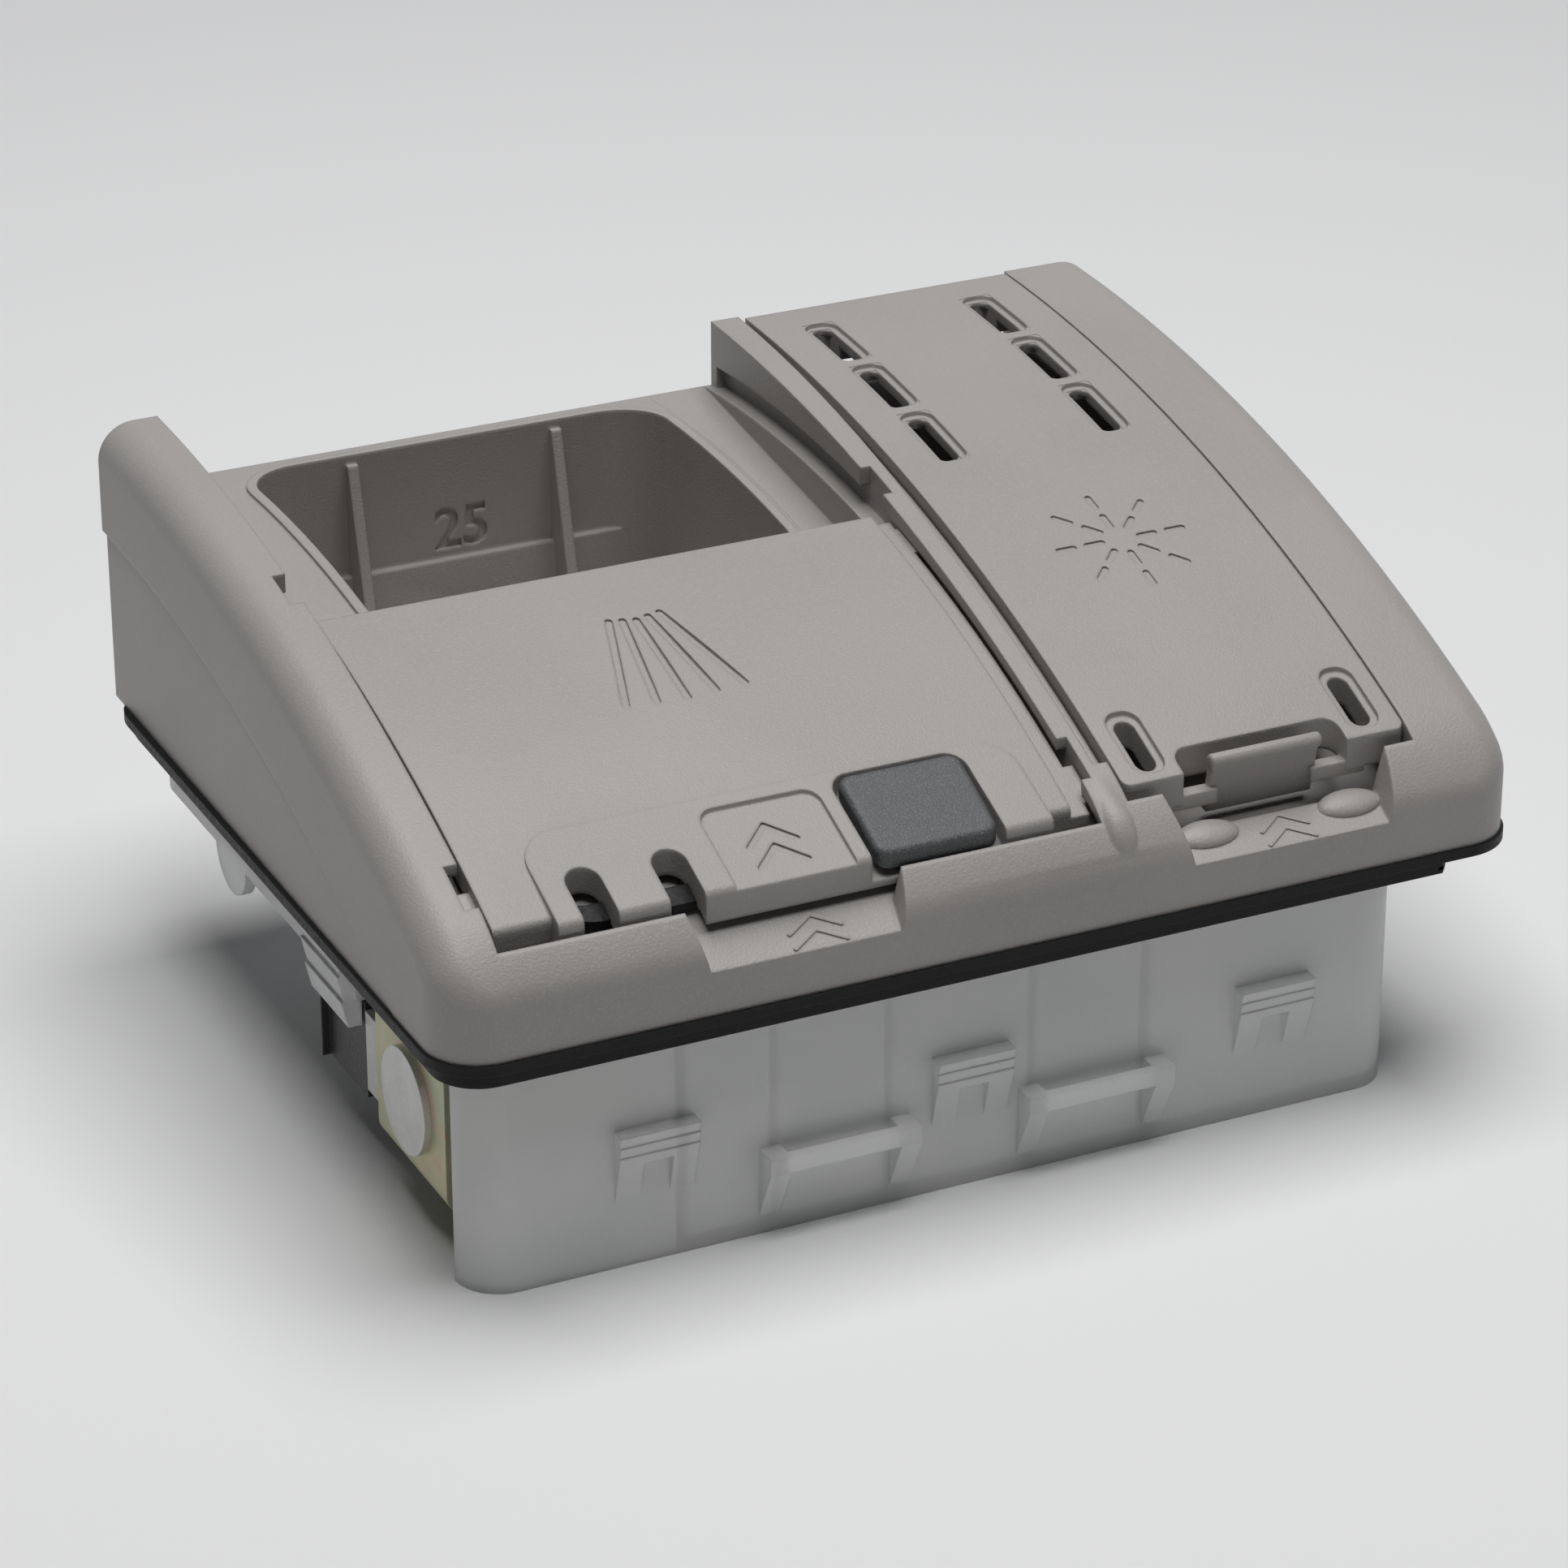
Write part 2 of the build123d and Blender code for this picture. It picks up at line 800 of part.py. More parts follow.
seal_left = cup_left - cup_wall / 2 - lid_seal_width / 2
seal_right = cup_right + cup_wall / 2 + lid_seal_width / 2
seal_near = before_travel(cup_near - cup_wall / 2) - lid_seal_width / 2
seal_far = before_travel(cup_far + cup_wall / 2) + lid_seal_width / 2


def seal_ring(low, high, play):
    """Ring of the lid's seal between two radii of the track, widened by a play."""
    middle = ((seal_left + seal_right) / 2, (seal_near + seal_far) / 2)
    width = seal_right - seal_left
    length = seal_far - seal_near
    with BuildPart() as ring:
        with BuildSketch(Plane.XY.offset(flange_level)):
            with Locations(middle):
                RectangleRounded(width + 2 * play, length + 2 * play, cup_corner)
                inner = 2 * lid_seal_width + 2 * play
                RectangleRounded(width - inner, length - inner, cup_corner / 2, mode=Mode.SUBTRACT)
        extrude(amount=above - flange_level)
        with BuildSketch(crosswise(seal_left - lid_seal_width)):
            with BuildLine():
                outline_between_arcs(track_circle, low, high, panel_near, lid_far)
            make_face()
        extrude(amount=width + 2 * lid_seal_width, mode=Mode.INTERSECT)
    return ring.part


# Raised panel of the lid's near edge, flush with the lid at its far side
panel_top = (panel_near, lid_height(track_radius, panel_near) + panel_rise)
panel_back = (panel_far, lid_height(track_radius, panel_far) + panel_step)
panel_slope = (panel_back[1] - panel_top[1]) / panel_depth
with BuildPart() as panel:
    with BuildSketch(crosswise(panel_left)):
        with BuildLine():
            foot = (panel_near, lid_height(lid_under, panel_near))
            Polyline(panel_top, panel_back, (panel_far, panel_back[1] - lid_top_wall / 2), foot, close=True)
        make_face()
    extrude(amount=panel_width)
    fillet(panel.edges().filter_by(Axis.X).group_by(Axis.Y)[0].sort_by(Axis.Z)[-1], panel_round)
    with BuildSketch(Plane.XY.offset(flange_level)):
        with Locations((panel_left + panel_width / 2, panel_far - panel_depth)):
            RectangleRounded(panel_width, 2 * panel_depth, panel_corner)
    extrude(amount=above - flange_level, mode=Mode.INTERSECT)


def pad_outline():
    """Side outline of the finger pad's recess, in the line that is open."""
    low = (panel_near - sill_depth, panel_top[1] - panel_slope * sill_depth - pad_recess)
    high = (pad_far, panel_top[1] + panel_slope * pad_depth - pad_recess)
    Polyline(low, high, (pad_far, above), (low[0], above), close=True)


pad_far = panel_near + pad_depth
pad_left = lid_left + pad_start
pad_span = (pad_left, pad_left + pad_width)
pad_form = trimmed(pad_outline, pad_span, (panel_near - pad_depth, pad_far), pad_corner)

# Seat of the release button, with a shelf below it
seat_far = button_far + button_gap
seat_form = trimmed(
    lambda: outline_to_arc(track_circle, shelf_radius, panel_near - sill_depth, seat_far, above),
    (button_left - button_gap, button_left + button_width + button_gap),
    (panel_near - button_depth, seat_far),
    button_seat_corner,
)

with BuildPart() as lid:
    with BuildSketch(crosswise(lid_left)):
        with BuildLine():
            outline_between_arcs(track_circle, lid_under, track_radius, lid_near, lid_far)
        make_face()
    extrude(amount=lid_width)
    near_edge = lid.edges().filter_by(Axis.X).group_by(Axis.Y)[0].sort_by(Axis.Z)[-1]
    fillet(near_edge, lid_edge_round)
    add(panel.part)

    # Hollow underside inside the seal's seat
    seat = 2 * lid_seal_width
    with BuildSketch(crosswise(seal_left + seat)):
        with BuildLine():
            hollow_near = max(panel_far, seal_near + seat)
            inner = track_radius - lid_top_wall
            outline_between_arcs(track_circle, deck_radius, inner, hollow_near, seal_far - seat)
        make_face()
    extrude(amount=seal_right - seal_left - 2 * seat, mode=Mode.SUBTRACT)
    add(seal_ring(deck_radius, lid_under + lid_seal_groove, fit_play), mode=Mode.SUBTRACT)

    # Guide flange along the right side, and the guide tabs at both sides
    with BuildSketch(crosswise(lid_right - lid_top_wall)):
        with BuildLine():
            outline_between_arcs(track_circle, lid_under, guide_radius, lid_near, lid_far)
        make_face()
    extrude(amount=rail_gap - guide_gap + lid_top_wall)
    tab_starts = (lid_near + lid_top_wall, lid_far - lid_top_wall - guide_tab_length)
    tab_sides = (
        (lid_left - guide_depth, guide_depth + lid_top_wall),
        (rib_left - guide_gap - lid_top_wall, lid_top_wall + rib_undercut),
    )
    for tab in tab_starts:
        for start, width in tab_sides:
            with BuildSketch(crosswise(start)):
                with BuildLine():
                    outline_between_arcs(track_circle, lid_under, guide_radius, tab, tab + guide_tab_length)
                make_face()
            extrude(amount=width)

    # Two drain slots, open at the near edge
    for index in range(2):
        slot_x = lid_left + slot_first + index * slot_pitch
        with BuildSketch(Plane.XY.offset(flange_level)):
            with Locations((slot_x, panel_near)):
                Rectangle(slot_width, 2 * slot_depth - slot_width)
            with Locations((slot_x, panel_near + slot_depth - slot_width / 2)):
                Circle(slot_width / 2)
        extrude(amount=above - flange_level, mode=Mode.SUBTRACT)

    # Finger pad, sunk into the panel, the button's seat and a way through for its hook
    add(pad_form, mode=Mode.SUBTRACT)
    add(seat_form, mode=Mode.SUBTRACT)
    with BuildSketch(Plane.XY.offset(flange_level)):
        with Locations((hook_x, hook_y)):
            Rectangle(hook_width + 2 * hook_play, hook_thickness + 2 * (hook_play + button_travel / 2))
    extrude(amount=above - flange_level, mode=Mode.SUBTRACT)
lid.part.label = "detergent_lid"
export_step(lid.part, "parts/detergent_lid.step")

# Rubber seal in the lid's underside
lid_seal_low = rim_radius + lid_seal_gap
with BuildPart() as lid_seal:
    add(seal_ring(lid_seal_low, lid_under + lid_seal_groove, 0))
lid_seal.part.label = "lid_seal"
export_step(lid_seal.part, "parts/lid_seal.step")

# Dark release button with its hook
button_top = track_radius + button_proud
button_under = button_top - button_wall
spring_room = button_under + button_pocket - shelf_radius
button_middle = (panel_near + button_far) / 2
button_lean = (track_circle[0] - button_middle) / track_radius
press = (button_lean, -sqrt(1 - button_lean**2))


def under_button(radius):
    """Point below the button's middle on a circle of the track."""
    return (hook_x, track_circle[0] - press[0] * radius, track_circle[1] - press[1] * radius)


outward = (0, -press[0], -press[1])
with BuildPart() as button:
    with BuildSketch(crosswise(button_left)):
        with BuildLine():
            outline_between_arcs(track_circle, button_under, button_top, panel_near, button_far)
        make_face()
    extrude(amount=button_width)
    side_edges = button.edges().filter_by(GeomType.LINE).filter_by(Axis.X, reverse=True)
    fillet(side_edges, button_corner)
    crown_face = button.faces().filter_by(GeomType.CYLINDER).sort_by(SortBy.RADIUS)[-1]
    fillet(crown_face.edges(), button_round)
    with BuildSketch(crosswise(hook_x - hook_width / 2)):
        with BuildLine():
            stem = (hook_y - hook_thickness / 2, hook_y + hook_thickness / 2)
            outline_between_arcs(
                track_circle, button_under - hook_reach, button_under + button_wall / 2, *stem
            )
        make_face()
    extrude(amount=hook_width)
    with BuildSketch(Plane(origin=under_button(shelf_radius), x_dir=(1, 0, 0), z_dir=outward)):
        Circle(button_spring_radius + button_spring_wire + button_pocket_gap)
    extrude(amount=spring_room, mode=Mode.SUBTRACT)
button.part.label = "lid_button"
export_step(button.part, "parts/lid_button.step")

# Button spring, a short coil between the shelf and the button's pocket
spring_height = spring_room - 2 * (button_spring_wire + fit_play)
spring_foot = shelf_radius + button_spring_wire + fit_play
with BuildPart() as button_spring:
    with BuildLine() as coil:
        Helix(
            pitch=spring_height / button_spring_turns,
            height=spring_height,
            radius=button_spring_radius,
            center=under_button(spring_foot),
            direction=outward,
        )
    with BuildSketch(Plane(origin=coil.line @ 0, z_dir=coil.line % 0)):
        RegularPolygon(button_spring_wire, spring_wire_sides)
    sweep()
button_spring.part.label = "button_spring"
export_step(button_spring.part, "parts/button_spring.step")

# Rinse lid: curved cover hinged at its far end, with a spring tongue as its latch
rinse_top = top_radius
rinse_under = top_radius - rinse_lid_skirt
latch_left = rinse_left + latch_notch_side
latch_right = rinse_right - latch_notch_side
latch_far = rinse_near + latch_notch_depth
vent_columns = (rinse_left + vent_side_inset, rinse_right - vent_side_inset)
vent_rows = [far - vent_far_inset - row * vent_pitch for row in range(vent_count)]
vent_places = [(x, y) for x in vent_columns for y in vent_rows]
drain_columns = (rinse_left + drain_side_inset, rinse_right - drain_side_inset)
drain_places = [(x, rinse_near + drain_inset) for x in drain_columns]


def vent_border(place, length, corner):
    """Shallow recess round a vent or drain of the rinse lid."""
    across = (place[0] - vent_width / 2 - vent_border_width, place[0] + vent_width / 2 + vent_border_width)
    along = (place[1] - length / 2 - vent_border_width, place[1] + length / 2 + vent_border_width)
    floor = top_radius - vent_recess
    return trimmed(lambda: outline_to_arc(top_circle, floor, *along, above), across, along, corner)


vent_borders = [vent_border(place, vent_length, vent_border_width / 2) for place in vent_places]
vent_borders += [vent_border(place, drain_length, vent_width / 2 + vent_recess) for place in drain_places]
with BuildPart() as rinse_lid:
    with BuildSketch(crosswise(rinse_left)):
        with BuildLine():
            outline_between_arcs(top_circle, rinse_under, rinse_top, rinse_near, rinse_far)
        make_face()
    extrude(amount=rinse_lid_width)
    upright_lines = rinse_lid.edges().filter_by(GeomType.LINE).filter_by(Axis.X, reverse=True)
    near_corners = upright_lines.group_by(Axis.Y)[0]
    fillet(near_corners, rinse_lid_corner)
    with BuildSketch(crosswise(rinse_left + rinse_side_wall)):
        with BuildLine():
            cover = top_radius - rinse_lid_wall
            ends = (latch_far + solid_end, hinge_y - solid_end)
            outline_between_arcs(top_circle, pan_radius, cover, *ends)
        make_face()
    extrude(amount=rinse_lid_width - 2 * rinse_side_wall, mode=Mode.SUBTRACT)

    # Notch for the latch, with the tongue on its two torsion bars
    with BuildSketch(Plane.XY.offset(flange_level)):
        with Locations(((latch_left + latch_right) / 2, rinse_near)):
            RectangleRounded(latch_right - latch_left, 2 * latch_notch_depth, latch_notch_corner)
    extrude(amount=above - flange_level, mode=Mode.SUBTRACT)
    tongue_top = circle_height(top_circle, top_radius, near + tongue_top_inset)
    tongue_left = (latch_left + latch_right - tongue_width) / 2
    with BuildSketch(crosswise(tongue_left)):
        with BuildLine():
            Polyline(
                (near + tongue_top_inset, tongue_top),
                (near + tongue_top_inset - tongue_lip, tongue_top - tongue_lip),
                (near + tongue_top_inset - tongue_lip / 2, tongue_top - 2 * tongue_lip),
                (near + tongue_foot_inset, tongue_foot_level),
                (near + tongue_foot_inset + tongue_wall, tongue_foot_level),
                (near + tongue_top_inset + tongue_wall, tongue_top),
                close=True,
            )
        make_face()
    extrude(amount=tongue_width)
    bar_y = near + (tongue_top_inset + tongue_foot_inset + tongue_wall) / 2
    bar_z = circle_height(top_circle, rinse_under + torsion_bar, bar_y)
    bar_length = tongue_left - latch_left + tongue_wall
    for start in (latch_left, latch_right - bar_length):
        with BuildSketch(crosswise(start)):
            with Locations((bar_y, bar_z)):
                RegularPolygon(torsion_bar / 2, torsion_bar_sides)
        extrude(amount=bar_length)

    # Vents in two columns, and a drain slot at each side of the latch, each with a sunk border
    for place in vent_places:
        with BuildSketch(Plane.XY.offset(flange_level)):
            with Locations(place):
                Rectangle(vent_width, vent_length)
        extrude(amount=above - flange_level, mode=Mode.SUBTRACT)
    for place in drain_places:
        with BuildSketch(Plane.XY.offset(flange_level)):
            with Locations(place):
                SlotOverall(drain_length, vent_width, rotation=90)
        extrude(amount=above - flange_level, mode=Mode.SUBTRACT)
    for border in vent_borders:
        add(border, mode=Mode.SUBTRACT)

    # Ring that carries the seal over the filler neck
    with BuildSketch(filler_plane.offset(-rinse_lid_wall - plug_depth)):
        Circle(filler_radius + filler_collar_wall)
        Circle(filler_radius - plug_wall, mode=Mode.SUBTRACT)
    extrude(amount=plug_depth + rinse_lid_wall / 2)

    # Hinge barrel with a pin at each end
    with BuildSketch(crosswise(rinse_left)):
        with Locations((hinge_y, hinge_z)):
            Circle(hinge_pin_radius + torsion_bar / 2)
    extrude(amount=rinse_lid_width)
    pin_reach = rinse_gap + hinge_pin_reach - hinge_play
    with BuildSketch(crosswise(rinse_left - pin_reach)):
        with Locations((hinge_y, hinge_z)):
            Circle(hinge_pin_radius)
    extrude(amount=rinse_lid_width + 2 * pin_reach)
rinse_lid.part.label = "rinse_lid"
export_step(rinse_lid.part, "parts/rinse_lid.step")

# Seal ring on the rinse lid
with BuildPart() as rinse_seal:
    with BuildSketch(filler_plane.offset(-rinse_lid_wall - plug_depth - seal_height)):
        Circle(filler_radius + filler_collar_wall)
        Circle(filler_radius - plug_wall, mode=Mode.SUBTRACT)
    extrude(amount=seal_height)
rinse_seal.part.label = "rinse_lid_seal"
export_step(rinse_seal.part, "parts/rinse_lid_seal.step")

# Rear body: tank with a floor, the tray beside it and the open bay of the solenoid
coil_y = near + coil_axis_inset
coil_z = coil_axis_level
bay_far = near + bay_far_inset
plunger_end = tank_left + plunger_reach
lever_x = plunger_end + lever_offset
lever_y = coil_y + lever_throw

# Place of the shut button's hook, which the lever's long arm reaches; the dosing peg hangs from that arm
shut_angle = asin((track_circle[0] - hook_y) / deck_radius) - radians(lid_travel)
latch_y = track_circle[0] - deck_radius * sin(shut_angle)
latch_x = hook_x + latch_post_offset
long_arm = hypot(latch_x - lever_x, latch_y - lever_y)
dosing_x = lever_x + dosing_peg_reach * (latch_x - lever_x) / long_arm
slide_y = lever_y + dosing_peg_reach * (latch_y - lever_y) / long_arm
boss_top = coil_z + tongue_thickness / 2 + lever_gap
lever_level = boss_top + lever_gap
wall_hole = plunger_radius + slide_gap
slide_z = slide_level + slide_height / 2
ear_y = frame_depth / 2 + plate_ear - ear_screw_inset
screw_spots = [(coil_y - ear_y, coil_z), (coil_y + ear_y, coil_z)]
with BuildPart() as body:
    with BuildSketch():
        body_outline(0)
    extrude(amount=flange_level)

    # Bay of the solenoid, open to the left behind the near shield
    with BuildSketch(Plane.XY.offset(-body_wall)):
        with BuildLine():
            Polyline(
                (tank_left, body_near + body_wall),
                (tank_left, bay_far),
                (body_left - body_wall, bay_far),
                (body_left - body_wall, body_near + shield_return),
                (body_left + body_wall, body_near + shield_return),
                (body_left + body_corner, body_near + body_wall),
                close=True,
            )
        make_face()
    extrude(amount=flange_level, mode=Mode.SUBTRACT)
    with BuildSketch(Plane.XY.offset(-body_wall)):
        with BuildLine():
            Polyline(
                (tank_left, bay_far - body_wall),
                (tank_left, far),
                (left, far),
                (left, bay_far - body_wall),
                close=True,
            )
        make_face()
    extrude(amount=tray_level + body_wall, mode=Mode.SUBTRACT)

    # Hollow of the tank and of the tray
    with BuildSketch(Plane.XY.offset(body_wall)):
        body_outline(-body_wall)
        with BuildLine():
            Polyline(
                (left, near),
                (tank_left + body_wall, near),
                (tank_left + body_wall, far),
                (left, far),
                close=True,
            )
        make_face(mode=Mode.SUBTRACT)
    extrude(amount=flange_level, mode=Mode.SUBTRACT)
    with BuildSketch(Plane.XY.offset(tray_level + body_wall)):
        body_outline(-body_wall)
        with BuildLine():
            Polyline(
                (tank_left, near),
                (tank_left, bay_far + body_wall),
                (left, bay_far + body_wall),
                (left, far),
                (right, far),
                (right, near),
                close=True,
            )
        make_face(mode=Mode.INTERSECT)
        with BuildLine():
            Polyline((tank_left, near), (right, near), (right, far), (tank_left, far), close=True)
        make_face(mode=Mode.SUBTRACT)
    extrude(amount=flange_level, mode=Mode.SUBTRACT)

    # Stiffening ribs inside the near wall, and the wall of the rinse tank
    for inset in partition_insets:
        with BuildSketch(Plane.XY):
            with Locations((tank_left + inset, body_near + (rib_reach + body_wall) / 2)):
                Rectangle(rib_wall, rib_reach + body_wall)
        extrude(amount=partition_height)
    with BuildSketch(Plane.XY):
        with Locations((reservoir_wall, 0)):
            Rectangle(body_wall, body_far - body_near - body_wall)
    extrude(amount=partition_height)

    # Boss of the lever's pin, post of the float with the bore of the sensor
    with BuildSketch(Plane.XY):
        with Locations((lever_x, lever_y)):
            Circle(lever_hub_radius)
    extrude(amount=boss_top)
    with BuildSketch(Plane.XY.offset(lever_pin_depth)):
        with Locations((lever_x, lever_y)):
            Circle(lever_pin_radius + lever_pin_play)
    extrude(amount=boss_top, mode=Mode.SUBTRACT)
    with BuildSketch(Plane.XY):
        with Locations((float_x, float_y)):
            Circle(float_post_radius)
    extrude(amount=float_post_height)
    with BuildSketch(Plane.XY.offset(-body_wall)):
        with Locations((float_x, float_y)):
            Circle(reed_radius + reed_play)
    extrude(amount=reed_length + 2 * body_wall, mode=Mode.SUBTRACT)

    # Way of the plunger through the tank's wall, and the screw bosses beside it
    with BuildSketch(crosswise(tank_left)):
        with Locations(*screw_spots):
            Circle(screw_radius + screw_boss_wall)
    extrude(amount=screw_boss_height + body_wall)
    with BuildSketch(crosswise(tank_left)):
        with Locations((coil_y, coil_z)):
            Circle(wall_hole)
        with Locations(*screw_spots):
            Circle(screw_radius + fit_play)
    extrude(amount=screw_reach - frame_wall + fit_play, mode=Mode.SUBTRACT)
    with BuildSketch(crosswise(reservoir_wall - body_wall)):
        with Locations((slide_y, slide_z)):
            Rectangle(slide_depth + 2 * slide_gap, slide_height + 2 * slide_gap)
    extrude(amount=2 * body_wall, mode=Mode.SUBTRACT)

    # Serrated snap hooks on the near wall
    for place in snap_places:
        with BuildSketch(crosswise(place - snap_width / 2)):
            with BuildLine():
                tooth = snap_head_height / snap_teeth
                foot = snap_top - snap_height
                teeth = [(body_near, foot), (body_near + body_wall, foot), (body_near + body_wall, snap_top)]
                for index in range(snap_teeth):
                    edge = body_near - snap_reach + index * snap_tooth_step / 2
                    teeth.append((edge, snap_top - index * tooth))
                    teeth.append((edge + snap_tooth_step, snap_top - (index + 1) * tooth))
                Polyline(*teeth, close=True)
            make_face()
        extrude(amount=snap_width)
        with BuildSketch(Plane.XZ.offset(-body_near)):
            with Locations((place, snap_top - snap_height)):
                Rectangle(snap_width - 2 * snap_leg_width, 2 * snap_leg_height)
        extrude(amount=snap_reach + body_wall, mode=Mode.SUBTRACT)

    # Cable bridges on the near wall: two tapered feet and the bar between them
    bridge_front = body_near - bridge_reach
    for place in bridge_places:
        for start in (place - bridge_width / 2, place + bridge_width / 2 - bridge_foot_width):
            with BuildSketch(crosswise(start)):
                with BuildLine():
                    Polyline(
                        (body_near + body_wall, bridge_top),
                        (bridge_front, bridge_top),
                        (bridge_front, bridge_top - bridge_bar_height),
                        (body_near, bridge_top - bridge_height),
                        (body_near + body_wall, bridge_top - bridge_height),
                        close=True,
                    )
                make_face()
            extrude(amount=bridge_foot_width)
        with BuildSketch(crosswise(place - bridge_width / 2)):
            with Locations((bridge_front + bridge_bar_wall / 2, bridge_top - bridge_bar_height / 2)):
                Rectangle(bridge_bar_wall, bridge_bar_height)
        extrude(amount=bridge_width)

    # Serrated hook and rounded tab on the left side of the tray
    with BuildSketch(Plane.XZ.offset(-side_hook_place - side_hook_width / 2)):
        with BuildLine():
            tooth = side_hook_height / snap_teeth
            foot = side_hook_top - side_hook_height
            teeth = [(body_left + body_wall, foot), (body_left + body_wall, side_hook_top)]
            for index in range(snap_teeth):
                edge = body_left - side_hook_reach + index * snap_tooth_step
                teeth.append((edge, side_hook_top - index * tooth))
                teeth.append((edge + 2 * snap_tooth_step, side_hook_top - (index + 1) * tooth))
            Polyline(*teeth, close=True)
        make_face()
    extrude(amount=side_hook_width)
    with BuildSketch(crosswise(body_left)):
        with Locations((tab_place, tray_level + body_wall / 2)):
            Rectangle(tab_width, body_wall)
        with Locations((tab_place, tray_level - tab_drop + tab_width / 2)):
            Circle(tab_width / 2)
        with Locations((tab_place, tray_level + tab_width)):
            Rectangle(2 * tab_width, 2 * tab_width - body_wall, mode=Mode.SUBTRACT)
    extrude(amount=body_wall)
body.part.label = "rear_body"
export_step(body.part, "parts/rear_body.step")

# Rubber gasket: a lip round the flange, and a ribbed collar round the body
with BuildPart() as gasket:
    with BuildSketch(Plane.XY.offset(flange_level - gasket_collar_height)):
        body_outline(gasket_collar_width)
        housing_outline(-housing_wall / 2, Mode.INTERSECT)
    extrude(amount=gasket_collar_height)
    for index in range(gasket_ribs - 1):
        level = flange_level - gasket_collar_height + gasket_groove * (1 + 2 * index)
        with BuildSketch(Plane.XY.offset(level)):
            body_outline(2 * gasket_collar_width)
            body_outline(gasket_collar_width - gasket_groove, Mode.SUBTRACT)
        extrude(amount=gasket_groove, mode=Mode.SUBTRACT)
    with BuildSketch(Plane.XY.offset(flange_level - gasket_lip_height)):
        housing_outline(gasket_lip)
    extrude(amount=gasket_lip_height)
    with BuildSketch(Plane.XY.offset(flange_level - 2 * gasket_collar_height)):
        body_outline(gasket_fit)
    extrude(amount=3 * gasket_collar_height, mode=Mode.SUBTRACT)
gasket.part.label = "main_gasket"
export_step(gasket.part, "parts/main_gasket.step")

# Solenoid frame: bent steel strip, open at the tank's side
plate_left = tank_left - frame_wall
with BuildPart() as frame:
    with BuildSketch(Plane.XZ.offset(-coil_y - frame_depth / 2)):
        with BuildLine():
            low = coil_z - frame_height / 2
            high = coil_z + frame_height / 2
            Polyline(
                (plate_left, high),
                (frame_left, high),
                (frame_left, low),
                (plate_left, low),
                (plate_left, low + frame_wall),
                (frame_left + frame_wall, low + frame_wall),
                (frame_left + frame_wall, high - frame_wall),
                (plate_left, high - frame_wall),
                close=True,
            )
        make_face()
    extrude(amount=frame_depth)
    bends = frame.edges().filter_by(Axis.Y).group_by(Axis.X)
    fillet(bends[0], 2 * frame_wall)
    with BuildSketch(crosswise(frame_left - frame_wall)):
        with Locations((coil_y, coil_z)):
            Circle(core_radius + fit_play)
    extrude(amount=3 * frame_wall, mode=Mode.SUBTRACT)
frame.part.label = "solenoid_frame"
export_step(frame.part, "parts/solenoid_frame.step")

# End plate of the solenoid, screwed to the tank's wall
with BuildPart() as end_plate:
    with BuildSketch(crosswise(plate_left)):
        with Locations((coil_y, coil_z)):
            RectangleRounded(frame_depth + 2 * plate_ear, frame_height, frame_wall)
            Circle(wall_hole, mode=Mode.SUBTRACT)
        with Locations(*screw_spots):
            Circle(screw_radius + fit_play, mode=Mode.SUBTRACT)
    extrude(amount=frame_wall)
end_plate.part.label = "frame_plate"
export_step(end_plate.part, "parts/frame_plate.step")

# Screws of the end plate
with BuildPart() as screws:
    with BuildSketch(crosswise(plate_left - screw_head_height)):
        with Locations(*screw_spots):
            Circle(screw_head_radius)
    extrude(amount=screw_head_height)
    with BuildSketch(crosswise(plate_left)):
        with Locations(*screw_spots):
            Circle(screw_radius)
    extrude(amount=screw_reach - fit_play)
screws.part.label = "solenoid_screws"
export_step(screws.part, "parts/solenoid_screws.step")

# Fixed core, riveted into the frame
with BuildPart() as core:
    with BuildSketch(crosswise(frame_left - core_head_wall)):
        with Locations((coil_y, coil_z)):
            Circle(core_head_radius)
    extrude(amount=core_head_wall)
    with BuildSketch(crosswise(frame_left)):
        with Locations((coil_y, coil_z)):
            Circle(core_radius)
    extrude(amount=core_length)
core.part.label = "solenoid_core"
export_step(core.part, "parts/solenoid_core.step")

# Coil former with its flanges and the block that carries the terminals
former_left = frame_left + frame_wall
former_bore = plunger_radius + plunger_play
former_side = frame_height - 2 * frame_wall - 2 * fit_play
connector_near = coil_y + former_side / 2 + former_block_reach
connector_z = coil_z - connector_drop
with BuildPart() as former:
    with BuildSketch(crosswise(former_left)):
        with Locations((coil_y, coil_z)):
            Circle(former_bore + former_tube_wall)
    extrude(amount=plate_left - former_left)
    for start in (former_left, plate_left - former_flange_wall):
        with BuildSketch(crosswise(start)):
            with Locations((coil_y, coil_z)):
                RectangleRounded(former_side, former_side, frame_wall)
        extrude(amount=former_flange_wall)
    with BuildSketch(crosswise(former_left)):
        with Locations((coil_y + (former_side + former_block_reach) / 2, connector_z)):
            Rectangle(former_block_reach, connector_height - 2 * connector_wall)
    extrude(amount=former_block_length)
    with BuildSketch(crosswise(former_left)):
        with Locations((coil_y, coil_z)):
            Circle(former_bore)
    extrude(amount=plate_left - former_left, mode=Mode.SUBTRACT)
former.part.label = "coil_former"
export_step(former.part, "parts/coil_former.step")

# Copper winding under its wrap of tape
with BuildPart() as winding:
    with BuildSketch(crosswise(former_left + former_flange_wall)):
        with Locations((coil_y, coil_z)):
            Circle(winding_radius)
            Circle(former_bore + former_tube_wall + fit_play, mode=Mode.SUBTRACT)
    extrude(amount=plate_left - former_left - 2 * former_flange_wall)
winding.part.label = "coil_winding"
export_step(winding.part, "parts/coil_winding.step")

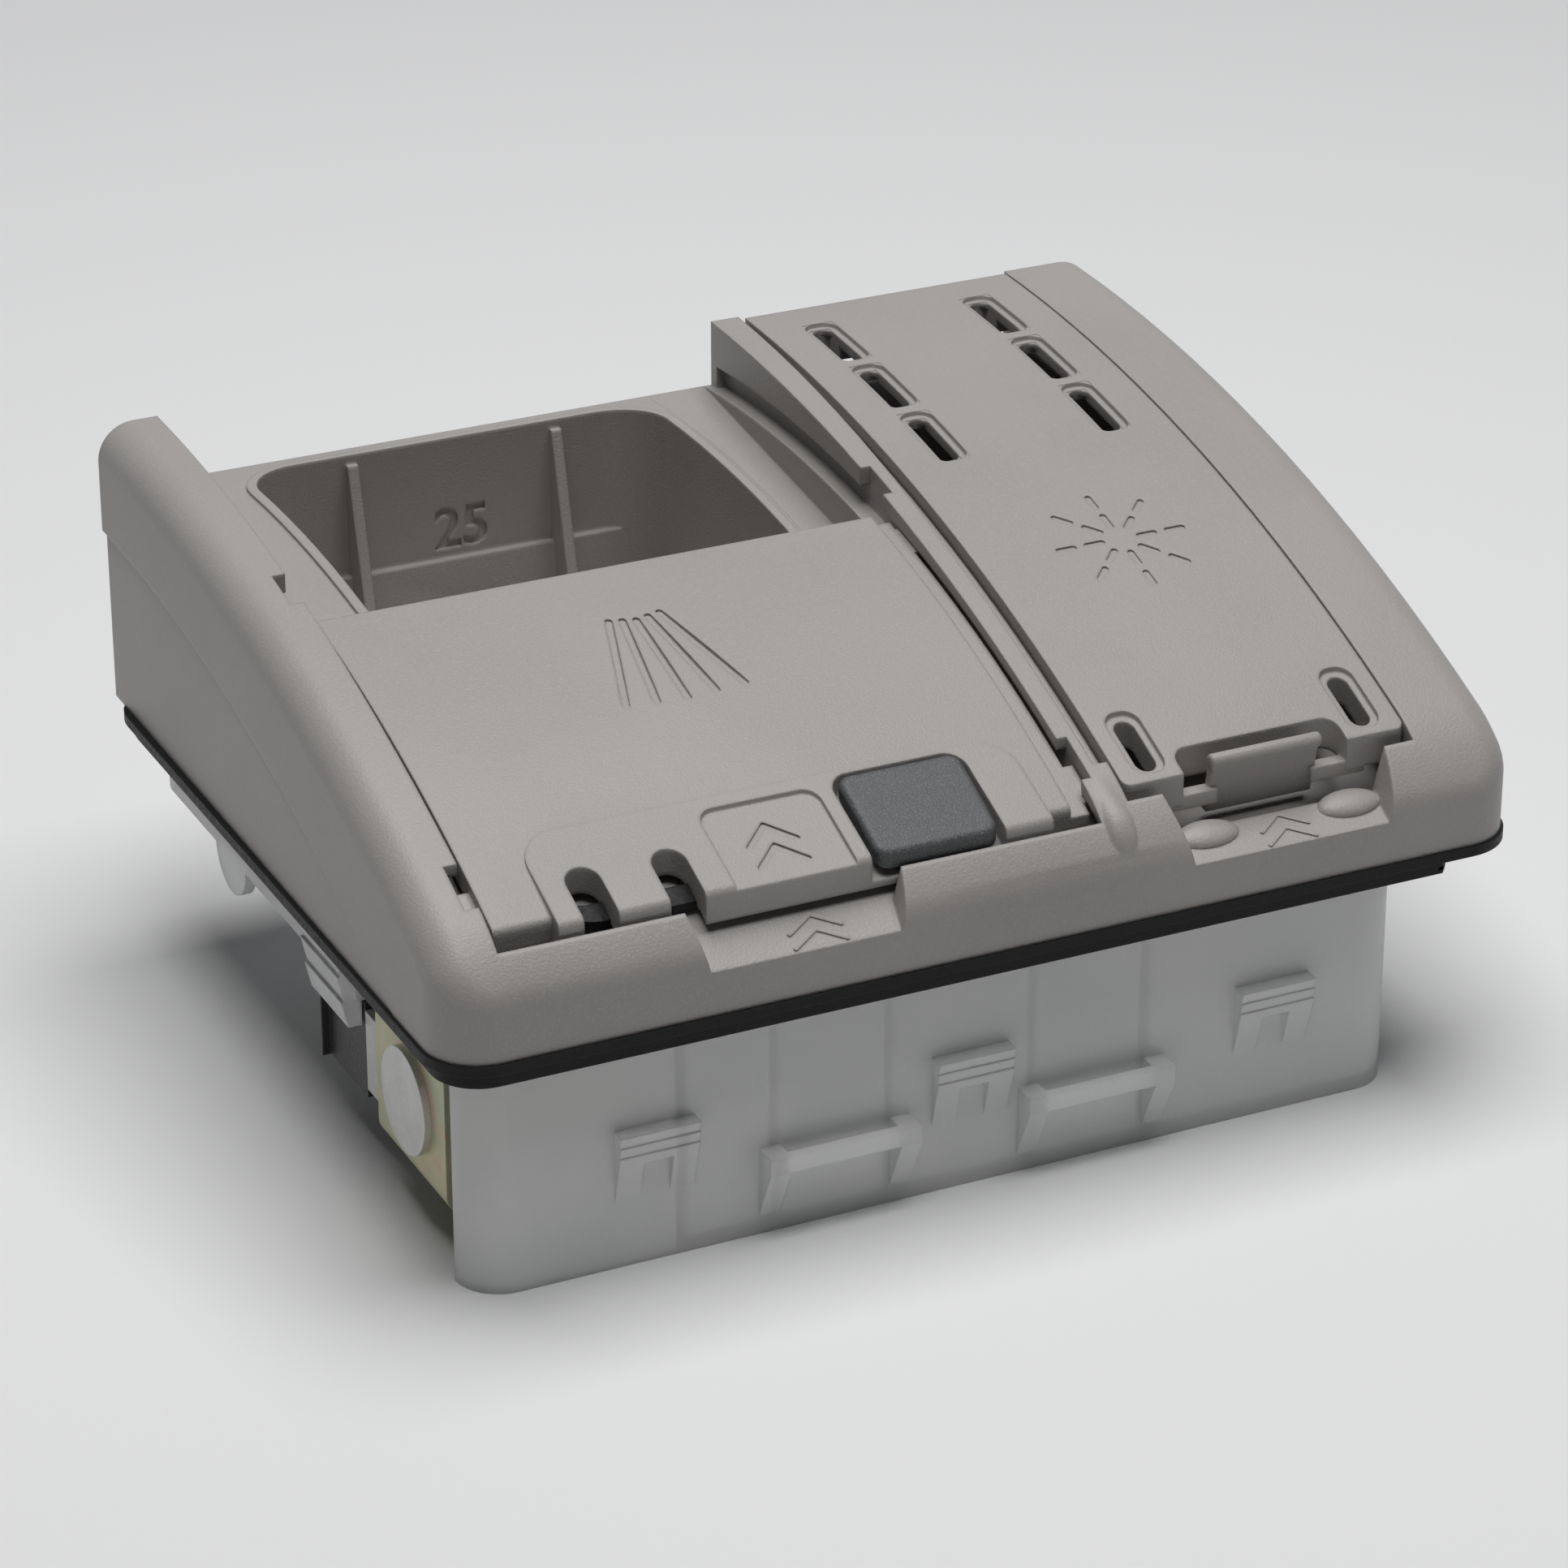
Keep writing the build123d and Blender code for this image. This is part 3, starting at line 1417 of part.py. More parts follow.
# Connector plugged onto the terminals, with a latch hook at its far end
connector_left = former_left
connector_far = connector_near + connector_length
connector_mid = connector_left + connector_width / 2
with BuildPart() as connector:
    with BuildSketch(Plane.XZ.offset(-connector_far)):
        with Locations((connector_mid, connector_z)):
            Rectangle(connector_width, connector_height)
    extrude(amount=connector_length)
    with BuildSketch(Plane.XZ.offset(-connector_far + connector_wall)):
        with Locations((connector_mid, connector_z)):
            inset = 2 * connector_wall
            Rectangle(connector_width - inset, connector_height - inset)
    extrude(amount=connector_length, mode=Mode.SUBTRACT)
    with BuildSketch(Plane.XY.offset(connector_z - connector_height / 2)):
        with BuildLine():
            barb = connector_far + connector_hook / 2
            Polyline(
                (connector_left + connector_wall, connector_far - connector_wall),
                (connector_left + connector_wall, connector_far + connector_hook),
                (connector_left, connector_far + connector_hook),
                (connector_left - connector_wall, barb),
                (connector_left, barb),
                (connector_left, connector_far - connector_wall),
                close=True,
            )
        make_face()
    extrude(amount=connector_hook_height)
connector.part.label = "connector_housing"
export_step(connector.part, "parts/connector_housing.step")

# Blade terminals of the coil
with BuildPart() as terminals:
    with BuildSketch(Plane.XZ.offset(-connector_near - blade_length)):
        for side in (-1, 1):
            with Locations((connector_mid, connector_z + side * blade_pitch / 2)):
                Rectangle(blade_width, blade_wall)
    extrude(amount=blade_length)
terminals.part.label = "terminals"
export_step(terminals.part, "parts/terminals.step")

# Plunger: steel rod with a bore for its spring and a flat tongue at its end
core_end = frame_left + core_length
plunger_start = core_end + plunger_stroke + plunger_gap
tongue_start = plunger_end - tongue_length
peg_x = plunger_end - peg_inset
peg_slot = 2 * (peg_radius + peg_gap)
with BuildPart() as plunger:
    with BuildSketch(crosswise(plunger_start)):
        with Locations((coil_y, coil_z)):
            Circle(plunger_radius)
    extrude(amount=tongue_start - plunger_start)
    with BuildSketch(crosswise(tongue_start)):
        with Locations((coil_y, coil_z)):
            Rectangle(tongue_breadth, tongue_thickness)
    extrude(amount=tongue_length)
    with BuildSketch(crosswise(plunger_start)):
        with Locations((coil_y, coil_z)):
            Circle(plunger_bore)
    extrude(amount=plunger_bore_depth, mode=Mode.SUBTRACT)
    with BuildSketch(Plane.XY.offset(coil_z - tongue_thickness)):
        with Locations((peg_x, coil_y)):
            Rectangle(peg_slot, tongue_breadth - 2 * tongue_side)
    extrude(amount=2 * tongue_thickness, mode=Mode.SUBTRACT)
plunger.part.label = "plunger"
export_step(plunger.part, "parts/plunger.step")

# Return spring between the core and the plunger
return_start = core_end + plunger_spring_wire + fit_play
return_length = plunger_start + plunger_bore_depth - plunger_spring_wire - fit_play - return_start
with BuildPart() as return_spring:
    with BuildLine() as turns:
        Helix(
            pitch=return_length / plunger_spring_turns,
            height=return_length,
            radius=plunger_spring_radius,
            center=(return_start, coil_y, coil_z),
            direction=(1, 0, 0),
        )
    with BuildSketch(Plane(origin=turns.line @ 0, z_dir=turns.line % 0)):
        RegularPolygon(plunger_spring_wire, spring_wire_sides)
    sweep()
return_spring.part.label = "plunger_spring"
export_step(return_spring.part, "parts/plunger_spring.step")


def arm(start, end, width):
    """Bar with round ends between two points, in the sketch that is open."""
    run = end[0] - start[0]
    rise = end[1] - start[1]
    middle = ((start[0] + end[0]) / 2, (start[1] + end[1]) / 2)
    with Locations(Location((*middle, 0), (0, 0, degrees(atan2(rise, run))))):
        Rectangle(hypot(run, rise), width)
    with Locations(start, end):
        Circle(width / 2)


# Latch lever: the plunger turns it, its post stands beside the shut button's hook
latch_top = lid_height(deck_radius - deck_wall, latch_y - latch_post_side) - latch_post_gap
with BuildPart() as lever:
    with BuildSketch(Plane.XY.offset(lever_level)):
        arm((lever_x, lever_y), (peg_x, coil_y), lever_arm_width)
        arm((lever_x, lever_y), (latch_x, latch_y), lever_arm_width)
        with Locations((lever_x, lever_y)):
            Circle(lever_hub_radius)
            Circle(lever_pin_radius + lever_pin_play, mode=Mode.SUBTRACT)
    extrude(amount=lever_wall)
    with BuildSketch(Plane.XY.offset(coil_z - tongue_thickness / 2)):
        with Locations((peg_x, coil_y)):
            Circle(peg_radius)
    extrude(amount=lever_level - coil_z + tongue_thickness)
    with BuildSketch(Plane.XY.offset(slide_level)):
        with Locations((dosing_x, slide_y)):
            Circle(peg_radius)
    extrude(amount=lever_level - slide_level + lever_wall / 2)
    with BuildSketch(Plane.XY.offset(lever_level)):
        with Locations((latch_x, latch_y)):
            Rectangle(latch_post_side, latch_post_side)
    extrude(amount=latch_top - lever_level)
lever.part.label = "latch_lever"
export_step(lever.part, "parts/latch_lever.step")

# Pin of the lever
pin_top = lever_level + lever_wall + lever_gap
with BuildPart() as lever_pin:
    with BuildSketch(Plane.XY.offset(lever_pin_depth)):
        with Locations((lever_x, lever_y)):
            Circle(lever_pin_radius)
    extrude(amount=pin_top - lever_pin_depth)
    with BuildSketch(Plane.XY.offset(pin_top)):
        with Locations((lever_x, lever_y)):
            Circle(lever_pin_head)
    extrude(amount=lever_pin_radius)
lever_pin.part.label = "lever_pin"
export_step(lever_pin.part, "parts/lever_pin.step")

# Dosing slide: a flat bar that lifts the seal off the rinse tank's wall
seal_start = reservoir_wall + body_wall / 2 + dosing_seal_gap
flange_start = seal_start + dosing_seal_wall
with BuildPart() as slide:
    with BuildSketch(crosswise(dosing_x - slide_end)):
        with Locations((slide_y, slide_z)):
            Rectangle(slide_depth, slide_height)
    extrude(amount=flange_start - dosing_x + slide_end)
    with BuildSketch(crosswise(flange_start)):
        with Locations((slide_y, slide_z)):
            Circle(dosing_seal_radius)
    extrude(amount=slide_flange_wall)
    with BuildSketch(Plane.XY):
        with Locations((dosing_x, slide_y)):
            Rectangle(peg_slot, peg_slot + 2 * slide_slot_reach)
    extrude(amount=slide_level + slide_depth, mode=Mode.SUBTRACT)
slide.part.label = "dosing_slide"
export_step(slide.part, "parts/dosing_slide.step")

# Seal of the dosing slide
with BuildPart() as slide_seal:
    with BuildSketch(crosswise(seal_start)):
        with Locations((slide_y, slide_z)):
            Circle(dosing_seal_radius)
            Rectangle(slide_depth + 2 * fit_play, slide_height + 2 * fit_play, mode=Mode.SUBTRACT)
    extrude(amount=dosing_seal_wall)
slide_seal.part.label = "dosing_seal"
export_step(slide_seal.part, "parts/dosing_seal.step")

# Float ring on its post in the rinse tank
with BuildPart() as float_ring:
    with BuildSketch(Plane.XY.offset(body_wall + float_foot)):
        with Locations((float_x, float_y)):
            Circle(float_radius)
            Circle(float_post_radius + float_play, mode=Mode.SUBTRACT)
    extrude(amount=float_height)
float_ring.part.label = "level_float"
export_step(float_ring.part, "parts/level_float.step")

# Reed switch inside the float's post
with BuildPart() as reed:
    with BuildSketch(Plane.XY.offset(reed_radius)):
        with Locations((float_x, float_y)):
            Circle(reed_radius)
    extrude(amount=reed_length - reed_radius)
reed.part.label = "reed_switch"
export_step(reed.part, "parts/reed_switch.step")
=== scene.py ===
from math import cos, radians, sin, sqrt

import bpy
from mathutils import Matrix, Vector


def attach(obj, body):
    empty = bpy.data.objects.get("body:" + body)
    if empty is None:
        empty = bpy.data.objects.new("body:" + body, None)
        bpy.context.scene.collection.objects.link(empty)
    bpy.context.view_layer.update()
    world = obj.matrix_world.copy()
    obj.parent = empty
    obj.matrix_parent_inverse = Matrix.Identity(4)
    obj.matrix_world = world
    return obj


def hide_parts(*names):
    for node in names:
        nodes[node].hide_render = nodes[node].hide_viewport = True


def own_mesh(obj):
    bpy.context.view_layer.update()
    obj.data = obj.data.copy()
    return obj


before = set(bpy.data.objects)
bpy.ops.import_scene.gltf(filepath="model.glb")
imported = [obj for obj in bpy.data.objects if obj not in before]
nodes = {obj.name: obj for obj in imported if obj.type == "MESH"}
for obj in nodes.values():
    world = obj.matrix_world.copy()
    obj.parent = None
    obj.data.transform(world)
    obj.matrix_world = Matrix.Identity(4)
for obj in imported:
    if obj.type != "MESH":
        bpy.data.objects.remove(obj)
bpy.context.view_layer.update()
bpy.ops.object.select_all(action="DESELECT")


# Rear body. A translucent tub of natural polypropylene, injection moulded in one shot,
# with its hooks and cable bridges. The front housing is welded onto its open rim.
def grain_group():
    """Fine texture of a moulded skin: a grain to bump with, and soft clouds of the pigment."""
    group = bpy.data.node_groups.new("moulded_grain", "ShaderNodeTree")
    group.interface.new_socket("Grain Scale", in_out="INPUT", socket_type="NodeSocketFloat")
    group.interface.new_socket("Cloud Scale", in_out="INPUT", socket_type="NodeSocketFloat")
    inside = group.nodes.new("NodeGroupInput")
    outside = group.nodes.new("NodeGroupOutput")
    place = group.nodes.new("ShaderNodeTexCoord")
    for output, detail, low, high in (("Grain", 3.0, 0.3, 0.7), ("Cloud", 5.0, 0.35, 0.65)):
        group.interface.new_socket(output, in_out="OUTPUT", socket_type="NodeSocketFloat")
        noise = group.nodes.new("ShaderNodeTexNoise")
        noise.inputs["Detail"].default_value = detail
        spread = group.nodes.new("ShaderNodeMapRange")
        spread.inputs["From Min"].default_value = low
        spread.inputs["From Max"].default_value = high
        group.links.new(place.outputs["Object"], noise.inputs["Vector"])
        group.links.new(inside.outputs[output + " Scale"], noise.inputs["Scale"])
        group.links.new(noise.outputs["Fac"], spread.inputs["Value"])
        group.links.new(spread.outputs["Result"], outside.inputs[output])
    return group


moulded_grain = grain_group()


def edge_group():
    """Softly rounded edges: the normal over a rounded edge, and a mask that is 1 along an edge, where a
    highlight is painted.
    """
    group = bpy.data.node_groups.new("rounded_edge_painted_highlight", "ShaderNodeTree")
    group.interface.new_socket("Radius", in_out="INPUT", socket_type="NodeSocketFloat")
    group.interface.new_socket("Edge", in_out="OUTPUT", socket_type="NodeSocketFloat")
    group.interface.new_socket("Normal", in_out="OUTPUT", socket_type="NodeSocketVector")
    inside = group.nodes.new("NodeGroupInput")
    outside = group.nodes.new("NodeGroupOutput")
    rounding = group.nodes.new("ShaderNodeBevel")
    rounding.samples = 4
    face = group.nodes.new("ShaderNodeNewGeometry")
    turn = group.nodes.new("ShaderNodeVectorMath")
    turn.operation = "DOT_PRODUCT"
    spread = group.nodes.new("ShaderNodeMapRange")
    spread.inputs["From Min"].default_value = 0.99
    spread.inputs["From Max"].default_value = 0.80
    group.links.new(inside.outputs["Radius"], rounding.inputs["Radius"])
    group.links.new(rounding.outputs["Normal"], turn.inputs[0])
    group.links.new(face.outputs["Normal"], turn.inputs[1])
    group.links.new(turn.outputs["Value"], spread.inputs["Value"])
    group.links.new(spread.outputs["Result"], outside.inputs["Edge"])
    group.links.new(rounding.outputs["Normal"], outside.inputs["Normal"])
    return group


rounded_edge_painted_highlight = edge_group()


def mixed(tree, factor, first, second):
    """Colour between two colours, of which the first may be a socket."""
    blend = tree.nodes.new("ShaderNodeMix")
    blend.data_type = "RGBA"
    tree.links.new(factor, blend.inputs["Factor"])
    if isinstance(first, tuple):
        blend.inputs["A"].default_value = first
    else:
        tree.links.new(first, blend.inputs["A"])
    blend.inputs["B"].default_value = second
    return blend.outputs["Result"]


def scaled(tree, value, start, end, low, high):
    """Value brought from the range start to end into the range low to high."""
    change = tree.nodes.new("ShaderNodeMapRange")
    change.inputs["From Min"].default_value = start
    change.inputs["From Max"].default_value = end
    change.inputs["To Min"].default_value = low
    change.inputs["To Max"].default_value = high
    tree.links.new(value, change.inputs["Value"])
    return change.outputs["Result"]


def finish_material(name, colours, speck, edge, grain_scale, cloud_scale, gloss, bump, edge_round):
    """Clouded and speckled colour with a painted highlight that makes it paler along its edges, with a
    grain and softly rounded edges.
    """
    material = bpy.data.materials.new(name)
    material.use_nodes = True
    tree = material.node_tree
    shader = tree.nodes["Principled BSDF"]
    grain = tree.nodes.new("ShaderNodeGroup")
    grain.node_tree = moulded_grain
    grain.inputs["Grain Scale"].default_value = grain_scale
    grain.inputs["Cloud Scale"].default_value = cloud_scale
    rim = tree.nodes.new("ShaderNodeGroup")
    rim.node_tree = rounded_edge_painted_highlight
    rim.inputs["Radius"].default_value = edge_round
    clouds = mixed(tree, grain.outputs["Cloud"], colours[0], colours[1])
    specks = scaled(tree, grain.outputs["Grain"], start=0.55, end=1.0, low=0.0, high=1.0)
    dotted = mixed(tree, specks, clouds, speck)
    # Painted highlight: along the edges the colour turns towards the paler edge colour.
    edges = scaled(tree, rim.outputs["Edge"], start=0.0, end=1.0, low=0.0, high=0.8)
    tree.links.new(mixed(tree, edges, dotted, edge), shader.inputs["Base Color"])
    polish = scaled(tree, grain.outputs["Grain"], start=0.0, end=1.0, low=gloss[0], high=gloss[1])
    tree.links.new(polish, shader.inputs["Roughness"])
    relief = tree.nodes.new("ShaderNodeBump")
    relief.inputs["Strength"].default_value = bump
    relief.inputs["Distance"].default_value = 0.0001
    tree.links.new(grain.outputs["Grain"], relief.inputs["Height"])
    tree.links.new(rim.outputs["Normal"], relief.inputs["Normal"])
    tree.links.new(relief.outputs["Normal"], shader.inputs["Normal"])
    return material


def set_shader(material, socket, value):
    """Set one plain value of a material's shader."""
    material.node_tree.nodes["Principled BSDF"].inputs[socket].default_value = value


def wear(material, *pieces):
    """Give these pieces one material all over."""
    for piece in pieces:
        piece.data.materials.clear()
        piece.data.materials.append(material)


frosted = finish_material(
    "frosted_polypropylene",
    colours=((0.95, 0.95, 0.94, 1), (0.90, 0.905, 0.90, 1)),
    speck=(0.93, 0.935, 0.93, 1),
    edge=(0.97, 0.97, 0.97, 1),
    grain_scale=900,
    cloud_scale=40,
    gloss=(0.32, 0.44),
    bump=0.12,
    edge_round=0.0004,
)
set_shader(frosted, "Transmission Weight", 0.44)
set_shader(frosted, "IOR", 1.45)
wear(frosted, nodes["rear_body"])


# Release solenoid. A bent steel frame and its end plate, zinc plated with a yellow passivation
# that shimmers from green to rose, screwed to the tank's wall, with a riveted core.
zinc_yellow = (0.53, 0.50, 0.31, 1)
zinc_green = (0.36, 0.44, 0.34, 1)
zinc_rose = (0.58, 0.42, 0.32, 1)
zinc = finish_material(
    "passivated_zinc",
    colours=(zinc_yellow, zinc_green),
    speck=zinc_rose,
    edge=(0.70, 0.68, 0.52, 1),
    grain_scale=240,
    cloud_scale=70,
    gloss=(0.34, 0.46),
    bump=0.1,
    edge_round=0.0003,
)
set_shader(zinc, "Metallic", 0.7)
wear(zinc, nodes["solenoid_frame"], nodes["frame_plate"])

bright_steel = finish_material(
    "turned_steel",
    colours=((0.60, 0.595, 0.58, 1), (0.54, 0.535, 0.52, 1)),
    speck=(0.66, 0.655, 0.64, 1),
    edge=(0.72, 0.72, 0.71, 1),
    grain_scale=2200,
    cloud_scale=240,
    gloss=(0.32, 0.44),
    bump=0.15,
    edge_round=0.0003,
)
set_shader(bright_steel, "Metallic", 0.8)
steel_nodes = ("solenoid_core", "solenoid_screws", "plunger", "lever_pin")
wear(bright_steel, *(nodes[name] for name in steel_nodes))


def pick(piece):
    """Select one piece alone and make it the active one."""
    bpy.ops.object.select_all(action="DESELECT")
    piece.select_set(True)
    bpy.context.view_layer.objects.active = piece


def shown_copy(node):
    """Copy of a CAD node with its loose triangles joined, which is shaped and then shown for it."""
    copy = bpy.data.objects.new(node + "_marked", nodes[node].data.copy())
    bpy.context.scene.collection.objects.link(copy)
    pick(copy)
    bpy.ops.object.mode_set(mode="EDIT")
    bpy.ops.mesh.select_all(action="SELECT")
    bpy.ops.mesh.remove_doubles(threshold=0.000002)
    bpy.ops.object.mode_set(mode="OBJECT")
    bpy.ops.mesh.customdata_custom_splitnormals_clear()
    return copy


smooth_angle = radians(32)


def coil_spring(node, body):
    """Copy of a spring that stays on its foot, with a mesh of its own."""
    spring = shown_copy(node)
    wear(bright_steel, spring)
    bpy.ops.object.shade_smooth_by_angle(angle=smooth_angle)
    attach(spring, body)
    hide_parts(node)
    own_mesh(spring)


coil_spring("plunger_spring", "dispenser")


# Coil of the solenoid. Enamelled wire under orange tape on a white nylon former,
# whose terminal block takes the plug. The float is of the same white nylon.
nylon = finish_material(
    "white_nylon",
    colours=((0.78, 0.78, 0.76, 1), (0.72, 0.72, 0.70, 1)),
    speck=(0.82, 0.82, 0.80, 1),
    edge=(0.88, 0.88, 0.86, 1),
    grain_scale=1200,
    cloud_scale=80,
    gloss=(0.40, 0.52),
    bump=0.2,
    edge_round=0.0003,
)
wear(nylon, nodes["coil_former"], nodes["level_float"])

tape = finish_material(
    "coil_tape",
    colours=((0.52, 0.26, 0.08, 1), (0.40, 0.19, 0.06, 1)),
    speck=(0.56, 0.30, 0.11, 1),
    edge=(0.60, 0.34, 0.14, 1),
    grain_scale=800,
    cloud_scale=120,
    gloss=(0.30, 0.45),
    bump=0.3,
    edge_round=0.0002,
)
wear(tape, nodes["coil_winding"])

tinned_brass = finish_material(
    "tinned_brass",
    colours=((0.62, 0.57, 0.40, 1), (0.54, 0.50, 0.36, 1)),
    speck=(0.66, 0.61, 0.44, 1),
    edge=(0.70, 0.66, 0.50, 1),
    grain_scale=1800,
    cloud_scale=200,
    gloss=(0.25, 0.38),
    bump=0.1,
    edge_round=0.0002,
)
set_shader(tinned_brass, "Metallic", 1.0)
wear(tinned_brass, nodes["terminals"])


# Plug of the coil. A small housing moulded in black glass-filled nylon,
# pushed onto the blades of the terminal block and held there by its hook.
black_nylon = finish_material(
    "black_nylon",
    colours=((0.016, 0.016, 0.017, 1), (0.024, 0.024, 0.025, 1)),
    speck=(0.032, 0.032, 0.033, 1),
    edge=(0.060, 0.060, 0.062, 1),
    grain_scale=1600,
    cloud_scale=90,
    gloss=(0.38, 0.52),
    bump=0.3,
    edge_round=0.0003,
)
wear(black_nylon, nodes["connector_housing"])


# Latch lever and dosing slide. Small mouldings of natural acetal inside the tank:
# the lever turns on a steel pin when the plunger pulls, and the slide moves with it.
acetal = finish_material(
    "natural_acetal",
    colours=((0.62, 0.62, 0.60, 1), (0.54, 0.54, 0.52, 1)),
    speck=(0.66, 0.66, 0.64, 1),
    edge=(0.72, 0.72, 0.70, 1),
    grain_scale=1400,
    cloud_scale=70,
    gloss=(0.34, 0.46),
    bump=0.15,
    edge_round=0.0003,
)
wear(acetal, nodes["latch_lever"], nodes["dosing_slide"])


# Reed switch. A sealed glass capsule that is slipped into a bore beside the tank's float.
# The ring magnet of the float closes it from outside.
capsule = finish_material(
    "reed_capsule",
    colours=((0.60, 0.72, 0.64, 1), (0.52, 0.64, 0.56, 1)),
    speck=(0.64, 0.76, 0.68, 1),
    edge=(0.74, 0.84, 0.78, 1),
    grain_scale=900,
    cloud_scale=300,
    gloss=(0.06, 0.12),
    bump=0.05,
    edge_round=0.0002,
)
set_shader(capsule, "Transmission Weight", 0.9)
wear(capsule, nodes["reed_switch"])


# Gasket and seals. Black moulded rubber; the main gasket is stretched over the body
# and pressed between the housing's flange and the door.
rubber = finish_material(
    "seal_rubber",
    colours=((0.004, 0.004, 0.004, 1), (0.006, 0.006, 0.006, 1)),
    speck=(0.008, 0.008, 0.008, 1),
    edge=(0.018, 0.018, 0.018, 1),
    grain_scale=1100,
    cloud_scale=60,
    gloss=(0.40, 0.58),
    bump=0.35,
    edge_round=0.0003,
)
set_shader(rubber, "Specular IOR Level", 0.2)
seal_nodes = ("main_gasket", "lid_seal", "rinse_lid_seal", "dosing_seal")
wear(rubber, *(nodes[name] for name in seal_nodes))


# Front housing. One warm grey moulding with a fine eroded skin: the sill, the strip at the left,
# the rib, the detergent cup and the bed of the rinse lid. The marks are cut into the mould.
grey_skin = finish_material(
    "grey_moulding",
    colours=((0.335, 0.317, 0.302, 1), (0.312, 0.296, 0.282, 1)),
    speck=(0.352, 0.334, 0.318, 1),
    edge=(0.44, 0.421, 0.405, 1),
    grain_scale=2600,
    cloud_scale=30,
    gloss=(0.36, 0.50),
    bump=0.35,
    edge_round=0.0008,
)


def carve(piece, tool, operation="DIFFERENCE"):
    """Cut a tool out of a piece, or join it on, and clear the tool away."""
    pick(piece)
    step = piece.modifiers.new("carve", "BOOLEAN")
    step.operation = operation
    step.solver = "EXACT"
    step.object = tool
    bpy.ops.object.modifier_apply(modifier=step.name)
    bpy.data.objects.remove(tool)


end_round = 0.495


def bar_tool(start, end, width, depth, up):
    """Bar with round ends from point to point, half above and half below that line."""
    along = (end - start).normalized()
    across = along.cross(up).normalized()
    upright = across.cross(along)
    bpy.ops.object.select_all(action="DESELECT")
    bpy.ops.mesh.primitive_cube_add(size=1)
    bar = bpy.context.object
    bar.scale = (width, (end - start).length + width, 2 * depth)
    bpy.ops.object.transform_apply(scale=True)
    bpy.ops.object.mode_set(mode="EDIT")
    bpy.ops.mesh.select_mode(type="EDGE")
    bpy.ops.mesh.select_all(action="DESELECT")
    bpy.ops.object.mode_set(mode="OBJECT")
    for edge in bar.data.edges:
        ends = [bar.data.vertices[index].co for index in edge.vertices]
        edge.select = abs(ends[0].z - ends[1].z) > depth
    bpy.ops.object.mode_set(mode="EDIT")
    bpy.ops.mesh.bevel(offset=end_round * width, segments=5, affect="EDGES")
    bpy.ops.object.mode_set(mode="OBJECT")
    middle = (start + end) / 2
    columns = Matrix((across, along, upright)).transposed().to_4x4()
    bar.matrix_world = Matrix.Translation(middle) @ columns
    bpy.ops.object.transform_apply(location=True, rotation=True)
    return bar


def joined(tools):
    """One tool made of several that lie apart."""
    pick(tools[0])
    for tool in tools:
        tool.select_set(True)
    bpy.ops.object.join()
    return tools[0]


stroke_gain = 0.02


def numeral_tool(digits, middle, height, depth, lean):
    """Upright digits that face the near side, made a mesh and brought to their height."""
    bpy.ops.object.select_all(action="DESELECT")
    bpy.ops.object.text_add()
    letters = bpy.context.object
    letters.data.body = digits
    letters.data.size = height
    letters.data.extrude = depth
    letters.data.offset = stroke_gain * height
    letters.data.resolution_u = 4
    bpy.ops.object.convert(target="MESH")
    tool = bpy.context.object
    bpy.ops.object.mode_set(mode="EDIT")
    bpy.ops.mesh.select_all(action="SELECT")
    bpy.ops.mesh.remove_doubles(threshold=0.00001)
    bpy.ops.mesh.normals_make_consistent(inside=False)
    bpy.ops.object.mode_set(mode="OBJECT")
    corners = [Vector(corner) for corner in tool.bound_box]
    low = corners[0]
    high = corners[6]
    tool.data.transform(Matrix.Translation(-(low + high) / 2))
    tool.data.transform(Matrix.Diagonal((height / (high.y - low.y),) * 2 + (1, 1)))
    tool.matrix_world = Matrix.Translation(middle) @ Matrix.Rotation(radians(90) + lean, 4, "X")
    pick(tool)
    bpy.ops.object.transform_apply(location=True, rotation=True)
    return tool


housing = shown_copy("front_housing")

# Two numerals are sunk into the far wall of the cup, the lower one where the wall leans
numerals = (
    ("25", (-0.0290, 0.0646, 0.0610), 0),
    ("15", (-0.0278, 0.0627, 0.0471), 0.087),
)
for digits, middle, lean in numerals:
    carve(housing, numeral_tool(digits, middle, height=0.0071, depth=0.0005, lean=lean))

# Chevrons stand proud on the two finger ramps of the sill
ramp_foot = (-0.0694, 0.0474)
ramp_depth = 0.0064
ramp_first = -0.06865
ramp_chevrons = (
    (-0.0294, 0.0040, 0.0021, 0.0041),
    (0.0479, 0.0024, 0.00255, 0.0039),
)


def on_slope(across, along, foot, slope):
    """Point of a flat face that rises to the far side through a foot, given by its Y and Z."""
    return Vector((across, along, foot[1] + (along - foot[0]) * slope))


for x, rise, reach, half in ramp_chevrons:
    slope = rise / ramp_depth
    outward = Vector((0, -slope, 1)).normalized()
    for row in range(2):
        start = ramp_first + (1 - row) * reach
        tip = on_slope(x, start + reach, ramp_foot, slope)
        for side in (-1, 1):
            end = on_slope(x + side * half, start, ramp_foot, slope)
            leg = bar_tool(tip, end, width=0.0007, depth=0.0002, up=outward)
            carve(housing, leg, "UNION")

# Two long bumps of the rinse ramp, rounded all over
bump_columns = (0.0356, 0.0598)
bump_halves = (0.0052, 0.0027, 0.0014)
rinse_ramp_lean = 0.3588
for x in bump_columns:
    bpy.ops.object.select_all(action="DESELECT")
    bpy.ops.mesh.primitive_uv_sphere_add(segments=40, ring_count=20, radius=1)
    bump = bpy.context.object
    bump.scale = bump_halves
    bump.rotation_euler = (rinse_ramp_lean, 0, 0)
    bump.location = (x, -0.0644, 0.04928)
    bpy.ops.object.transform_apply(location=True, rotation=True, scale=True)
    carve(housing, bump, "UNION")

